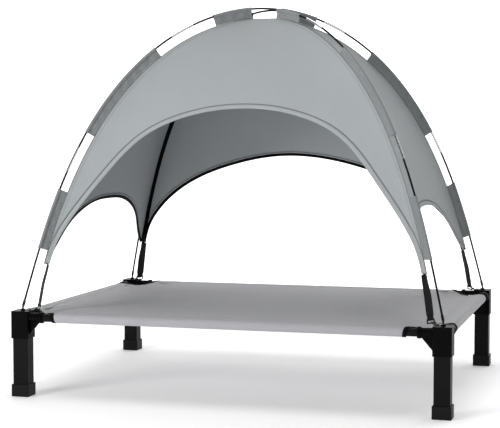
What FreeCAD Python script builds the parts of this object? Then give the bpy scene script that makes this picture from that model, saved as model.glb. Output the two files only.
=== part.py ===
import FreeCAD, Part
import math
import os

from FreeCAD import Vector

# A raised dog bed: four legs, a tube frame with a fabric sling, and a lift-off canopy on two
# crossing bent poles. Millimetres, +Z up, +X to the right, -Y to the front. The origin is on the
# floor under the middle of the bed.

# Bed
BED_LENGTH = 1219.2  # over the feet, along X (48 in)
BED_WIDTH = 914.4  # over the feet, along Y (36 in)
BED_HEIGHT = 238.0  # top of the corner brackets

# Legs
FOOT_SIDE = 51.0
FOOT_HEIGHT = 34.0
FOOT_FLOOR = 4.0
LEG_SIDE = 43.5
LEG_WALL = 1.5
PLASTIC_FIT = 0.1  # gap round a metal tube in its plastic socket
EDGE_RADIUS = 3.0  # moulded outer edges
FOOT_RIM_ROUND = 1.0

# Corner brackets
BRACKET_SIDE = 50.4
BRACKET_RIM_ROUND = 1.2
SKIRT_HEIGHT = 76.0
LEG_SOCKET_DEPTH = 43.0
SOCKET_RADIUS = 12.7
SOCKET_LENGTH = 30.0
RIM_RADIUS = 15.5
RIM_LENGTH = 10.0
RIM_ROUND = 1.0
GUSSET_DROP = 48.0
GUSSET_THICKNESS = 6.0
BOSS_RADIUS = 6.5
BOSS_HEIGHT = 4.0
POLE_HOLE_RADIUS = 3.3
POLE_HOLE_DEPTH = 31.0

# Frame tubes
TUBE_RADIUS = 11.0
TUBE_WALL = 1.2
TUBE_DROP = 17.5  # tube axis below the bracket top
TUBE_OUT = 9.0  # tube axis outside the bracket's middle, so the tubes run along its outer faces
TUBE_END_GAP = 14.5  # socket floor to the bracket's middle
TUBE_END_PLAY = 0.5

# Sling
SLING_THICKNESS = 1.6
SLING_PLAY = 0.3  # gap between a tube and its fabric sleeve
SLING_CUT = 96.0  # bound corner cut-out: square across a sleeve this far from the bracket's middle
SLING_CORNER_CUT = 90.0  # and slanting across the sheet, this far from the middle along X plus along Y
BINDING_WIDTH = 13.0
BINDING_PROUD = 0.6

# Poles
POLE_RADIUS = 2.8
POLE_BORE_RADIUS = 1.5
CORD_RADIUS = 1.1
UPPER_CROWN = 1091.0  # centre line of the pole that passes over the other
LOWER_CROWN = 1084.5
POLE_ARCS = 10  # tangent arcs in half a pole
BEND_FADE = 1.95  # how the bend fades from the crown to the foot: 2 is evenly
ROD_LENGTH = 494.0
ROD_SHIFT = -25.0  # middle rod off the crown, towards the left-hand side
FERRULE_LENGTH = 74.0
FERRULE_RADIUS = 3.5
TIP_PIN_LENGTH = 27.0
TIP_BEND_RADIUS = 30.0
TIP_CUP_LENGTH = 14.0
TIP_CUP_RADIUS = 3.8

# Canopy
WEB_CROWN = 29.0  # pole to skin at the crown
WEB_WAIST = 23.0  # pole to skin where they are closest
WEB_WAIST_SHARE = 0.75  # where that is, as a share of half the pole
WEB_FOOT = 50.0  # pole to skin at the foot, where the strap pulls the skin in
SKIN_THICKNESS = 1.6
TRIM_THICKNESS = 1.2
SKIN_HEM_HEIGHT = 365.5  # lowest edge of the skin, at the four corners
RIDGE_SHARE = 0.97  # of half the pole, past the lowest corner
RIDGE_SAMPLES = 14
LAYER_SAMPLES = 30
ARCH_BINDING_WIDTH = 8.0
SEAM_TAPE_HALF_WIDTH = 9.0
SLEEVE_RADIUS = 4.9
SLEEVE_BORE_RADIUS = 3.9
SLEEVE_WEB_THICKNESS = 1.6
SLEEVE_WEB_LIFT = 0.4  # clear of the skin
SLEEVE_SAMPLES = 6
# Sleeves along half a pole, each from and to a distance from the crown
SLEEVE_SPANS = ((48.0, 169.0), (368.0, 681.0), (858.0, 1031.0))
# Each arch: its top, then points out to one side (from the middle, above the floor), then
# how far its foot stays inside the ridge
FRONT_ARCH = (808.0, ((147.0, 788.0), (284.0, 721.0), (386.0, 605.0), (473.0, 482.0), (502.0, 427.0)), 9.0)
BACK_ARCH = (664.0, ((178.0, 638.0), (330.0, 581.0), (420.0, 521.0), (467.0, 474.0), (503.0, 420.0)), 9.0)
SIDE_ARCH = (540.0, ((100.0, 535.0), (200.0, 512.0), (280.0, 470.0), (335.0, 415.0)), 16.0)

# Corner straps
STRAP_WIDTH = 25.0
STRAP_THICKNESS = 3.0
STRAP_TOP_REACH = 659.0  # sewn end, from the bed's middle
STRAP_TOP_HEIGHT = 362.0
STRAP_TOP_GAP = 2.0
RING_REACH = 681.0
RING_HEIGHT = 245.0
RING_WIDTH = 28.0
RING_DEPTH = 12.2
RING_BAR = 3.0
RING_ROUND = 0.9
LOOP_RADIUS = 2.7
HOOK_WIDTH = 14.0
HOOK_THICKNESS = 1.5
HOOK_INNER = 7.0  # hook tongue past the ring's bar
HOOK_OUTER = 9.0
HOOK_END_GAP = 6.5  # hook's screwed end to the boss
HOOK_PAST_SCREW = 4.0  # hook's screwed end past the screw's head
SCREW_RADIUS = 1.5
SCREW_FIT = 0.05
SCREW_LENGTH = 12.0
SCREW_HEAD_RADIUS = 3.0
SCREW_HEAD_HEIGHT = 2.0
SCREW_HEAD_ROUND = 0.8

# Worked out from the sizes above
CORNER_X = (BED_LENGTH - FOOT_SIDE) / 2
CORNER_Y = (BED_WIDTH - FOOT_SIDE) / 2
TUBE_X = CORNER_X + TUBE_OUT
TUBE_Y = CORNER_Y + TUBE_OUT
CORNER_REACH = math.hypot(CORNER_X, CORNER_Y)
DIAGONAL = math.degrees(math.atan2(CORNER_Y, CORNER_X))
ALONG_X = CORNER_X / CORNER_REACH
ALONG_Y = CORNER_Y / CORNER_REACH
TUBE_HEIGHT = BED_HEIGHT - TUBE_DROP
LEG_TOP = BED_HEIGHT - SKIRT_HEIGHT + LEG_SOCKET_DEPTH
CORNERS = {
    "front_left": (-1, -1),
    "front_right": (1, -1),
    "back_left": (-1, 1),
    "back_right": (1, 1),
}
ABOVE_ALL = BED_HEIGHT + 1000.0


def save(shape, name):
    """Writes one sub-part."""
    shape.exportStep(os.path.join("parts", name + ".step"))
    print(f"{name}: {len(shape.Solids)} solid(s), {shape.Volume / 1000:.1f} cm3, valid {shape.isValid()}")


def mirrored(shape, side_x, side_y):
    """The back-right corner's shape, moved to another corner."""
    result = shape
    if side_x < 0:
        result = result.mirror(Vector(0, 0, 0), Vector(1, 0, 0))
    if side_y < 0:
        result = result.mirror(Vector(0, 0, 0), Vector(0, 1, 0))
    return result


def save_at_corners(shape, name):
    for corner, (side_x, side_y) in CORNERS.items():
        save(mirrored(shape, side_x, side_y), f"{name}_{corner}")


def square_column(side, low, high, radius):
    """A square column on the back-right leg's centre line, with rounded upright edges."""
    column = Part.makeBox(side, side, high - low, Vector(CORNER_X - side / 2, CORNER_Y - side / 2, low))
    upright = [e for e in column.Edges if abs(e.tangentAt(e.FirstParameter).z) > 0.9]
    return column.makeFillet(radius, upright)


def in_diagonal_plane(shape):
    """Turns a shape made in the XZ plane into the vertical plane through the back-right leg."""
    turned = shape.copy()
    turned.rotate(Vector(0, 0, 0), Vector(0, 0, 1), DIAGONAL)
    return turned


def polygon_face(points):
    return Part.Face(Part.makePolygon(points + [points[0]]))


# ---------------------------------------------------------------- legs


def leg_tube():
    """Square leg tube, from the floor of the foot cap up into the bracket."""
    outer = square_column(LEG_SIDE, FOOT_FLOOR, LEG_TOP, EDGE_RADIUS)
    bore_side = LEG_SIDE - 2 * LEG_WALL
    bore = square_column(bore_side, FOOT_FLOOR, LEG_TOP, EDGE_RADIUS - LEG_WALL)
    return outer.cut(bore)


def foot_cap():
    """Moulded cap over the leg's lower end, standing on the floor."""
    cap = square_column(FOOT_SIDE, 0, FOOT_HEIGHT, EDGE_RADIUS)
    rims = [e for e in cap.Edges if e.BoundBox.ZLength < 0.01]
    cap = cap.makeFillet(FOOT_RIM_ROUND, rims)
    socket = square_column(LEG_SIDE + 2 * PLASTIC_FIT, FOOT_FLOOR, FOOT_HEIGHT + 1, EDGE_RADIUS)
    return cap.cut(socket)


# ---------------------------------------------------------------- corner brackets


def socket_start(direction):
    """Where a tube's axis passes the bracket's middle."""
    outwards = Vector(abs(direction.y), abs(direction.x), 0) * TUBE_OUT
    return Vector(CORNER_X, CORNER_Y, TUBE_HEIGHT) + outwards


def socket_stub(direction):
    """One round tube socket with its thick rim, running inwards from inside the bracket."""
    start = socket_start(direction)
    face = BRACKET_SIDE / 2
    stub = Part.makeCylinder(SOCKET_RADIUS, face + SOCKET_LENGTH, start, direction)
    rim_start = start + direction * (face + SOCKET_LENGTH)
    rim = Part.makeCylinder(RIM_RADIUS, RIM_LENGTH, rim_start, direction)
    rim_edges = [e for e in rim.Edges if abs(e.Length - 2 * math.pi * RIM_RADIUS) < 0.1]
    return stub.fuse(rim.makeFillet(RIM_ROUND, rim_edges))


def socket_bore(direction):
    start = socket_start(direction) + direction * TUBE_END_GAP
    return Part.makeCylinder(TUBE_RADIUS + PLASTIC_FIT, BED_LENGTH / 4, start, direction)


def gusset(direction):
    """Triangular rib under a tube socket."""
    across = Vector(-direction.y, direction.x, 0) * (GUSSET_THICKNESS / 2)
    start = socket_start(direction) - across
    inner = start + direction * (BRACKET_SIDE / 2 - 1)
    outer = start + direction * (BRACKET_SIDE / 2 + SOCKET_LENGTH)
    top = Vector(0, 0, 1 - SOCKET_RADIUS)
    rib = polygon_face([inner + top, outer + top, inner - Vector(0, 0, GUSSET_DROP)])
    return rib.extrude(across * 2)


def screw_reach():
    """Distance of the hook's screw from the bed's middle."""
    return hook_points()[-1].x - SCREW_HEAD_RADIUS - HOOK_PAST_SCREW


def corner_bracket():
    """Moulded corner: a cap over the leg top with two tube sockets and the pole's hole."""
    low = BED_HEIGHT - SKIRT_HEIGHT
    body = square_column(BRACKET_SIDE, low, BED_HEIGHT, EDGE_RADIUS)
    top_rim = [e for e in body.Edges if e.BoundBox.ZMin > BED_HEIGHT - 0.01]
    body = body.makeFillet(BRACKET_RIM_ROUND, top_rim)
    middle = Vector(CORNER_X, CORNER_Y, BED_HEIGHT)
    directions = (Vector(-1, 0, 0), Vector(0, -1, 0))
    for direction in directions:
        body = body.fuse(socket_stub(direction)).fuse(gusset(direction))
    boss = Part.makeCylinder(BOSS_RADIUS, BOSS_HEIGHT + 1, middle - Vector(0, 0, 1))
    body = body.fuse(boss)
    body = body.cut(square_column(LEG_SIDE + 2 * PLASTIC_FIT, low - 1, LEG_TOP, EDGE_RADIUS))
    for direction in directions:
        body = body.cut(socket_bore(direction))
    hole_bottom = middle + Vector(0, 0, BOSS_HEIGHT - POLE_HOLE_DEPTH)
    body = body.cut(Part.makeCylinder(POLE_HOLE_RADIUS, POLE_HOLE_DEPTH + 1, hole_bottom))
    screw_end = Vector(screw_reach(), 0, BED_HEIGHT + HOOK_THICKNESS - SCREW_LENGTH)
    screw_hole = Part.makeCylinder(SCREW_RADIUS + SCREW_FIT, SCREW_LENGTH, screw_end)
    return body.cut(in_diagonal_plane(screw_hole)).removeSplitter()


# ---------------------------------------------------------------- tube frame and sling


def tube_between(half_length, offset, radius, along_x):
    """A solid rod along a side of the frame, centred on the bed."""
    if along_x:
        start = Vector(-half_length, offset, TUBE_HEIGHT)
        return Part.makeCylinder(radius, 2 * half_length, start, Vector(1, 0, 0))
    start = Vector(offset, -half_length, TUBE_HEIGHT)
    return Part.makeCylinder(radius, 2 * half_length, start, Vector(0, 1, 0))


def frame_tube(half_length, offset, along_x):
    outer = tube_between(half_length, offset, TUBE_RADIUS, along_x)
    bore = tube_between(half_length, offset, TUBE_RADIUS - TUBE_WALL, along_x)
    return outer.cut(bore)


def sling_layers(inner_radius, outer_radius):
    """The taut sheet and its four tube sleeves as one closed skin, before the corners are cut."""
    sheet_top = TUBE_HEIGHT + outer_radius
    thickness = outer_radius - inner_radius
    sheet_low = Vector(-TUBE_X, -TUBE_Y, sheet_top - thickness)
    skin = Part.makeBox(2 * TUBE_X, 2 * TUBE_Y, thickness, sheet_low)
    sides = (
        (CORNER_X, -TUBE_Y, True),
        (CORNER_X, TUBE_Y, True),
        (CORNER_Y, -TUBE_X, False),
        (CORNER_Y, TUBE_X, False),
    )
    for half_length, offset, along_x in sides:
        skin = skin.fuse(tube_between(half_length, offset, outer_radius, along_x))
    for half_length, offset, along_x in sides:
        skin = skin.cut(tube_between(half_length + 1, offset, inner_radius, along_x))
    return skin


def corner_block(inset, side_x, side_y):
    """The upright block that cuts the sling's corner, or that far inside it."""
    square = SLING_CUT - inset
    slant = SLING_CORNER_CUT - inset * math.sqrt(2)
    past = SLING_CUT
    inwards = [(-past, -past), (square, -past), (square, slant - square)]
    inwards += [(slant - square, square), (-past, square)]
    points = [Vector(side_x * (CORNER_X - x), side_y * (CORNER_Y - y), 0) for x, y in inwards]
    return polygon_face(points).extrude(Vector(0, 0, BED_HEIGHT * 2))


def save_sling():
    inner = TUBE_RADIUS + SLING_PLAY
    outer = inner + SLING_THICKNESS
    sling = sling_layers(inner, outer)
    edging = sling_layers(inner, outer + BINDING_PROUD)
    for corner, (side_x, side_y) in CORNERS.items():
        opening = corner_block(0.0, side_x, side_y)
        sling = sling.cut(opening)
        band = opening.cut(corner_block(BINDING_WIDTH, side_x, side_y))
        save(edging.common(band), f"sling_binding_{corner}")
    save(sling.removeSplitter(), "bed_sling")


# ---------------------------------------------------------------- bent poles


class Pole:
    """One bent pole in the XZ plane, as tangent arcs on each side of its crown.

    It is bent most at the crown and runs out nearly straight at its feet. A place on it is its
    distance along the pole from the crown, negative towards -X."""

    def __init__(self, crown):
        self.crown = crown
        pin_top = BED_HEIGHT + BOSS_HEIGHT + 1.0
        low = math.radians(60)
        high = math.radians(88)
        for _ in range(40):
            self.end_slope = (low + high) / 2
            self.length = 1.0
            bend_reach = TIP_BEND_RADIUS * (1 - math.sin(self.end_slope))
            bend_rise = TIP_BEND_RADIUS * math.cos(self.end_slope)
            across, down = self.offset(1.0)
            reach = CORNER_REACH - bend_reach
            drop = crown - pin_top - bend_rise
            if down / across < drop / reach:
                low = self.end_slope
            else:
                high = self.end_slope
        self.length = reach / across
        self.pin_top = pin_top

    def slope(self, place):
        """Slope below the horizontal at a distance from the crown."""
        left = max(0.0, 1 - place / self.length)
        return self.end_slope * (1 - left**BEND_FADE)

    def offset(self, place):
        """How far across and down a place is from the crown."""
        across = 0.0
        down = 0.0
        step = self.length / POLE_ARCS
        start = 0.0
        while start < place - 1e-9:
            whole = self.slope(start + step) - self.slope(start)
            share = min(1.0, (place - start) / step)
            turn = whole * share
            chord = step * share
            if turn > 1e-9:
                chord = chord * math.sin(turn / 2) / (turn / 2)
            across += chord * math.cos(self.slope(start) + turn / 2)
            down += chord * math.sin(self.slope(start) + turn / 2)
            start += step
        return across, down

    def point(self, place, inwards=0.0):
        """A point on the centre line, or that far inside it."""
        across, down = self.offset(abs(place))
        start = math.floor(abs(place) * POLE_ARCS / self.length) * self.length / POLE_ARCS
        step = self.length / POLE_ARCS
        whole = self.slope(min(start + step, self.length)) - self.slope(start)
        slope = self.slope(start) + whole * (abs(place) - start) / step
        across -= inwards * math.sin(slope)
        down += inwards * math.cos(slope)
        return Vector(math.copysign(across, place), 0, self.crown - down)

    def path(self, first, last):
        """The wire of arcs between two places."""
        step = self.length / POLE_ARCS
        joints = [i * step for i in range(-POLE_ARCS, POLE_ARCS + 1)]
        stops = [first] + [j for j in joints if first + 0.5 < j < last - 0.5] + [last]
        edges = []
        for start, end in zip(stops, stops[1:]):
            arc = Part.Arc(self.point(start), self.point((start + end) / 2), self.point(end))
            edges.append(arc.toShape())
        return Part.Wire(edges)

    def rod(self, first, last, radius):
        """A round solid along the pole."""
        return sweep(self.path(first, last), radius)


def sweep(path, radius):
    """A round solid along a wire."""
    start = path.OrderedEdges[0]
    tangent = start.tangentAt(start.FirstParameter)
    circle = Part.makeCircle(radius, path.OrderedVertexes[0].Point, tangent)
    return path.makePipeShell([Part.Wire(circle)], True, True)


def pole_rods(pole):
    """Five hollow rods, end to end, from tip to tip."""
    end = pole.length - 1.0
    joints = [ROD_SHIFT + ROD_LENGTH * (i - 1.5) for i in range(4)]
    stops = [-end] + joints + [end]
    rods = []
    for first, last in zip(stops, stops[1:]):
        rods.append(pole.rod(first, last, POLE_RADIUS).cut(pole.rod(first, last, POLE_BORE_RADIUS)))
    ferrules = []
    for joint in joints:
        first = joint - FERRULE_LENGTH / 2
        last = joint + FERRULE_LENGTH / 2
        ferrules.append(pole.rod(first, last, FERRULE_RADIUS).cut(pole.rod(first, last, POLE_RADIUS + 0.05)))
    return Part.Compound(rods), Part.Compound(ferrules)


def pole_tip(pole):
    """Steel end of a pole: a cup on the last rod, a slight bend and an upright pin."""
    foot = pole.point(pole.length)
    pin_top = Vector(CORNER_REACH, 0, pole.pin_top)
    slope = (pole.end_slope + math.radians(90)) / 2
    centre = pin_top - Vector(TIP_BEND_RADIUS, 0, 0)
    middle = centre + Vector(math.sin(slope), 0, math.cos(slope)) * TIP_BEND_RADIUS
    bend = Part.Arc(foot, middle, pin_top).toShape()
    pin = Part.makeLine(pin_top, pin_top - Vector(0, 0, TIP_PIN_LENGTH))
    shaft = sweep(Part.Wire([bend, pin]), POLE_RADIUS)
    cup = pole.rod(pole.length - TIP_CUP_LENGTH, pole.length, TIP_CUP_RADIUS)
    socket = pole.rod(pole.length - TIP_CUP_LENGTH, pole.length - 1.0, POLE_RADIUS + 0.05)
    return cup.cut(socket).fuse(shaft)


def save_pole(pole, name, side):
    """side is 1 for the pole from front left to back right, and -1 for the other."""
    turn = side * DIAGONAL
    rods, ferrules = pole_rods(pole)
    tip = pole_tip(pole)
    other = tip.mirror(Vector(0, 0, 0), Vector(1, 0, 0))
    cord = pole.rod(-pole.length + 1.5, pole.length - 1.5, CORD_RADIUS)
    pieces = {
        "rods": rods,
        "ferrules": ferrules,
        "tips": Part.Compound([tip, other]),
        "shock_cord": cord,
    }
    for piece, shape in pieces.items():
        shape.rotate(Vector(0, 0, 0), Vector(0, 0, 1), turn)
        save(shape, f"{name}_{piece}")


# ---------------------------------------------------------------- canopy skin


def ridge_point(pole, place):
    """The skin's ridge under a pole, in the pole's plane."""
    share = place / pole.length
    if share < WEB_WAIST_SHARE:
        web = WEB_CROWN + (WEB_WAIST - WEB_CROWN) * share / WEB_WAIST_SHARE
    else:
        flare = (share - WEB_WAIST_SHARE) / (1 - WEB_WAIST_SHARE)
        web = WEB_WAIST + (WEB_FOOT - WEB_WAIST) * flare**2
    return pole.point(place, web)


def ridge_points(pole):
    """The ridge from the crown down past its lowest corner."""
    last = pole.length * RIDGE_SHARE
    return [ridge_point(pole, last * i / RIDGE_SAMPLES) for i in range(RIDGE_SAMPLES + 1)]


def layer(pole, outer_depth, inner_depth, along_x):
    """A curved sheet between two depths under the skin's outer face, from the crown outwards.

    It runs straight along X for the back panel, and along Y for the right-hand one."""
    share = ALONG_Y if along_x else ALONG_X
    outline = [Vector(p.x * share, 0, p.z) for p in ridge_points(pole)]
    outline[0].x = 0.0
    over_crown = [Vector(-p.x, 0, p.z) for p in outline[3:0:-1]]
    curve = Part.BSplineCurve()
    curve.interpolate(Points=over_crown + outline)
    first = curve.parameter(outline[0])
    span = curve.LastParameter - first
    places = [first + span * i / LAYER_SAMPLES for i in range(LAYER_SAMPLES + 1)]
    edges = []
    ends = []
    for depth in (outer_depth, inner_depth):
        points = []
        for place in places:
            tangent = curve.tangent(place)[0]
            points.append(curve.value(place) + Vector(tangent.z, 0, -tangent.x) * depth)
        side = Part.BSplineCurve()
        side.interpolate(Points=points)
        edges.append(side.toShape())
        ends.append((points[0], points[-1]))
    closing = [Part.makeLine(ends[0][i], ends[1][i]) for i in (0, 1)]
    face = Part.Face(Part.Wire(Part.__sortEdges__(edges + closing)))
    reach = 2 * CORNER_X
    sheet = face.extrude(Vector(0, reach, 0))
    sheet.translate(Vector(0, -reach / 2, 0))
    if along_x:
        sheet.rotate(Vector(0, 0, 0), Vector(0, 0, 1), 90)
    return sheet


def wedge(along_x, inset=0.0):
    """The quarter of the plan between two ridges, or that far inside them.

    It is the back quarter for along_x, and the right-hand one otherwise."""
    reach = 1.2
    left_corner = Vector(-CORNER_X, CORNER_Y, 0) * reach
    right_corner = Vector(CORNER_X, CORNER_Y, 0) * reach
    low_corner = Vector(CORNER_X, -CORNER_Y, 0) * reach
    corners = [right_corner, left_corner] if along_x else [right_corner, low_corner]
    shift = Vector(0, inset / ALONG_X, 0) if along_x else Vector(inset / ALONG_Y, 0, 0)
    tip = shift + Vector(0, 0, SKIN_HEM_HEIGHT)
    face = polygon_face([tip] + [corner + tip for corner in corners])
    return face.extrude(Vector(0, 0, ABOVE_ALL))


def arch_cutter(arch, pole, along_x, grow=0.0):
    """A block with the arch's outline, through the back or the right-hand panel."""
    top, side_points, inset = arch
    share = ALONG_X if along_x else ALONG_Y
    corner = ridge_near_height(pole, SKIN_HEM_HEIGHT)
    foot = (corner.x * share - inset, SKIN_HEM_HEIGHT)
    half = list(side_points) + [foot]
    outline = [(-x, z) for x, z in reversed(half)] + [(0.0, top)] + half
    points = [Vector(x, 0, z) for x, z in outline]
    curve = Part.BSplineCurve()
    curve.interpolate(Points=points)
    if grow > 0:
        grown = []
        for p in points:
            tangent = curve.tangent(curve.parameter(p))[0]
            grown.append(p + Vector(-tangent.z, 0, tangent.x) * grow)
        points = grown
        curve.interpolate(Points=points)
    drop = Vector(0, 0, -2 * FOOT_HEIGHT)
    sill = Part.makePolygon([points[-1], points[-1] + drop, points[0] + drop, points[0]])
    face = Part.Face(Part.Wire([curve.toShape()] + sill.Edges))
    block = face.extrude(Vector(0, BED_LENGTH, 0))
    if not along_x:
        block.rotate(Vector(0, 0, 0), Vector(0, 0, 1), -90)
    return block


def ridge_near_height(pole, height):
    """The point of the ridge at a height above the floor."""
    low = 0.0
    high = pole.length
    for _ in range(30):
        middle = (low + high) / 2
        if ridge_point(pole, middle).z > height:
            low = middle
        else:
            high = middle
    return ridge_point(pole, low)


def seam_tape_area():
    """An upright slab along the back-right ridge, clear of the other ridges' tapes at the crown."""
    half = SEAM_TAPE_HALF_WIDTH
    slab = Part.makeBox(CORNER_REACH, 2 * half, ABOVE_ALL, Vector(2 * half, -half, SKIN_HEM_HEIGHT))
    return in_diagonal_plane(slab)


def save_skin(pole):
    """Four panels, each with its arch, the binding inside each arch and the tape inside each ridge."""
    trim_depth = SKIN_THICKNESS + TRIM_THICKNESS
    panels = {
        "back": (True, BACK_ARCH, (1, 1)),
        "front": (True, FRONT_ARCH, (1, -1)),
        "right": (False, SIDE_ARCH, (1, 1)),
        "left": (False, SIDE_ARCH, (-1, 1)),
    }
    for name, (along_x, arch, sides) in panels.items():
        opening = arch_cutter(arch, pole, along_x)
        quarter = wedge(along_x)
        panel = layer(pole, 0.0, SKIN_THICKNESS, along_x).common(quarter).cut(opening)
        save(mirrored(panel, *sides), f"canopy_panel_{name}")
        band = arch_cutter(arch, pole, along_x, ARCH_BINDING_WIDTH)
        trim = layer(pole, SKIN_THICKNESS, trim_depth, along_x)
        trim = trim.common(wedge(along_x, SEAM_TAPE_HALF_WIDTH + 0.2)).common(band).cut(opening)
        save(mirrored(trim, *sides), f"arch_binding_{name}")
    halves = []
    for along_x, arch in ((True, FRONT_ARCH), (False, SIDE_ARCH)):
        half = layer(pole, SKIN_THICKNESS, trim_depth, along_x).common(wedge(along_x))
        halves.append(half.common(seam_tape_area()).cut(arch_cutter(arch, pole, along_x)))
    save_at_corners(halves[0].fuse(halves[1]), "seam_tape")


def pole_sleeves(pole, skin_pole):
    """Three sewn sleeves along half a pole: each a tube round the rod on a web up from the ridge."""
    sleeves = []
    for first, last in SLEEVE_SPANS:
        places = [first + (last - first) * i / (SLEEVE_SAMPLES - 1) for i in range(SLEEVE_SAMPLES)]
        upper = [pole.point(p, SLEEVE_BORE_RADIUS + 0.3) for p in places]
        lower = [ridge_point(skin_pole, p) + Vector(SLEEVE_WEB_LIFT, 0, SLEEVE_WEB_LIFT) for p in places]
        edges = []
        for points in (upper, lower):
            curve = Part.BSplineCurve()
            curve.interpolate(Points=points)
            edges.append(curve.toShape())
        edges.append(Part.makeLine(upper[0], lower[0]))
        edges.append(Part.makeLine(upper[-1], lower[-1]))
        web = Part.Face(Part.Wire(Part.__sortEdges__(edges))).extrude(Vector(0, SLEEVE_WEB_THICKNESS, 0))
        web.translate(Vector(0, -SLEEVE_WEB_THICKNESS / 2, 0))
        tube = pole.rod(first, last, SLEEVE_RADIUS)
        sleeves.append(tube.fuse(web).cut(pole.rod(first - 1, last + 1, SLEEVE_BORE_RADIUS)))
    return Part.Compound(sleeves)


# ---------------------------------------------------------------- straps, rings and hooks

STRAP_LEAN = math.atan2(RING_REACH - STRAP_TOP_REACH, STRAP_TOP_HEIGHT - RING_HEIGHT)
STRAP_LENGTH = math.hypot(RING_REACH - STRAP_TOP_REACH, STRAP_TOP_HEIGHT - RING_HEIGHT)
STRAP_TOP = Vector(STRAP_TOP_REACH, 0, STRAP_TOP_HEIGHT)


def along_strap(distance, outwards=0.0):
    """A point at a distance down the strap's line from its sewn end, in the pole's plane."""
    down = Vector(math.sin(STRAP_LEAN), 0, -math.cos(STRAP_LEAN))
    out = Vector(math.cos(STRAP_LEAN), 0, math.sin(STRAP_LEAN))
    return STRAP_TOP + down * distance + out * outwards


def strap_slab(first, last, half_thickness, width):
    """A flat piece square to the strap's line."""
    corners = [
        along_strap(first, -half_thickness),
        along_strap(first, half_thickness),
        along_strap(last, half_thickness),
        along_strap(last, -half_thickness),
    ]
    slab = polygon_face(corners).extrude(Vector(0, width, 0))
    slab.translate(Vector(0, -width / 2, 0))
    return slab


def strap_ring():
    """Rectangular ring: its upper bar in the strap's loop, its lower bar under the hook."""
    half = RING_DEPTH / 2
    ring = strap_slab(STRAP_LENGTH - half, STRAP_LENGTH + half, RING_BAR / 2, RING_WIDTH)
    inner = half - RING_BAR
    window = strap_slab(
        STRAP_LENGTH - inner, STRAP_LENGTH + inner, RING_BAR, RING_WIDTH - 2 * RING_BAR
    )
    ring = ring.cut(window)
    return ring.makeFillet(RING_ROUND, ring.Edges)


def ring_bar_distance():
    """Middle of the ring's upper bar, down the strap's line."""
    return STRAP_LENGTH - RING_DEPTH / 2 + RING_BAR / 2


def corner_strap():
    """Doubled webbing from the canopy's corner, looped round the ring's upper bar."""
    bar = ring_bar_distance()
    webbing = strap_slab(STRAP_TOP_GAP, bar, STRAP_THICKNESS / 2, STRAP_WIDTH)
    loop_width = RING_WIDTH - 2 * RING_BAR - 1.0
    start = along_strap(bar) - Vector(0, loop_width / 2, 0)
    taper = strap_slab(bar - RING_BAR * 2.2, bar + RING_BAR, STRAP_THICKNESS, STRAP_WIDTH + 2)
    shoulder = strap_slab(bar - RING_BAR * 2.2, bar, STRAP_THICKNESS / 2, loop_width)
    webbing = webbing.cut(taper).fuse(shoulder)
    loop = Part.makeCylinder(LOOP_RADIUS, loop_width, start, Vector(0, 1, 0))
    webbing = webbing.fuse(loop)
    half = RING_BAR / 2 + 0.05
    tunnel = strap_slab(bar - half, bar + half, half, STRAP_WIDTH)
    return webbing.cut(tunnel)


def hook_points():
    """Middle line of the bent hook strip, from its tongue to its screwed end."""
    tongue = STRAP_LENGTH + RING_DEPTH / 2 - RING_BAR - 0.8 - HOOK_THICKNESS / 2
    seat = BED_HEIGHT + HOOK_THICKNESS / 2
    knee = along_strap(tongue, HOOK_OUTER)
    return [
        along_strap(tongue, -HOOK_INNER),
        knee,
        Vector(knee.x + (knee.z - seat), 0, seat),
        Vector(CORNER_REACH - BOSS_RADIUS - HOOK_END_GAP, 0, seat),
    ]


def strap_hook():
    """Bent steel strip, screwed to the bracket's top, with its tongue through the ring."""
    points = hook_points()
    upper = []
    lower = []
    for i, point in enumerate(points):
        before = points[max(i - 1, 0)]
        after = points[min(i + 1, len(points) - 1)]
        first = (point - before).normalize() if i > 0 else (after - point).normalize()
        second = (after - point).normalize() if i < len(points) - 1 else first
        middle = (first + second).normalize()
        normal = Vector(-middle.z, 0, middle.x)
        stretch = HOOK_THICKNESS / 2 / math.sqrt((1 + first.dot(second)) / 2)
        upper.append(point + normal * stretch)
        lower.append(point - normal * stretch)
    strip = polygon_face(upper + lower[::-1]).extrude(Vector(0, HOOK_WIDTH, 0))
    strip.translate(Vector(0, -HOOK_WIDTH / 2, 0))
    hole_bottom = Vector(screw_reach(), 0, BED_HEIGHT - HOOK_THICKNESS)
    hole = Part.makeCylinder(SCREW_RADIUS + SCREW_FIT, 3 * HOOK_THICKNESS, hole_bottom)
    return strip.cut(hole)


def hook_screw():
    """Pan-head screw through the hook into the bracket."""
    seat = Vector(screw_reach(), 0, BED_HEIGHT + HOOK_THICKNESS)
    head = Part.makeCylinder(SCREW_HEAD_RADIUS, SCREW_HEAD_HEIGHT, seat)
    rim = [e for e in head.Edges if e.BoundBox.ZMin > seat.z + 1 and e.Length > SCREW_HEAD_RADIUS * 3]
    head = head.makeFillet(SCREW_HEAD_ROUND, rim)
    shank = Part.makeCylinder(SCREW_RADIUS, SCREW_LENGTH - 0.5, seat - Vector(0, 0, SCREW_LENGTH - 0.5))
    return head.fuse(shank)


# ---------------------------------------------------------------- the whole bed


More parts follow.
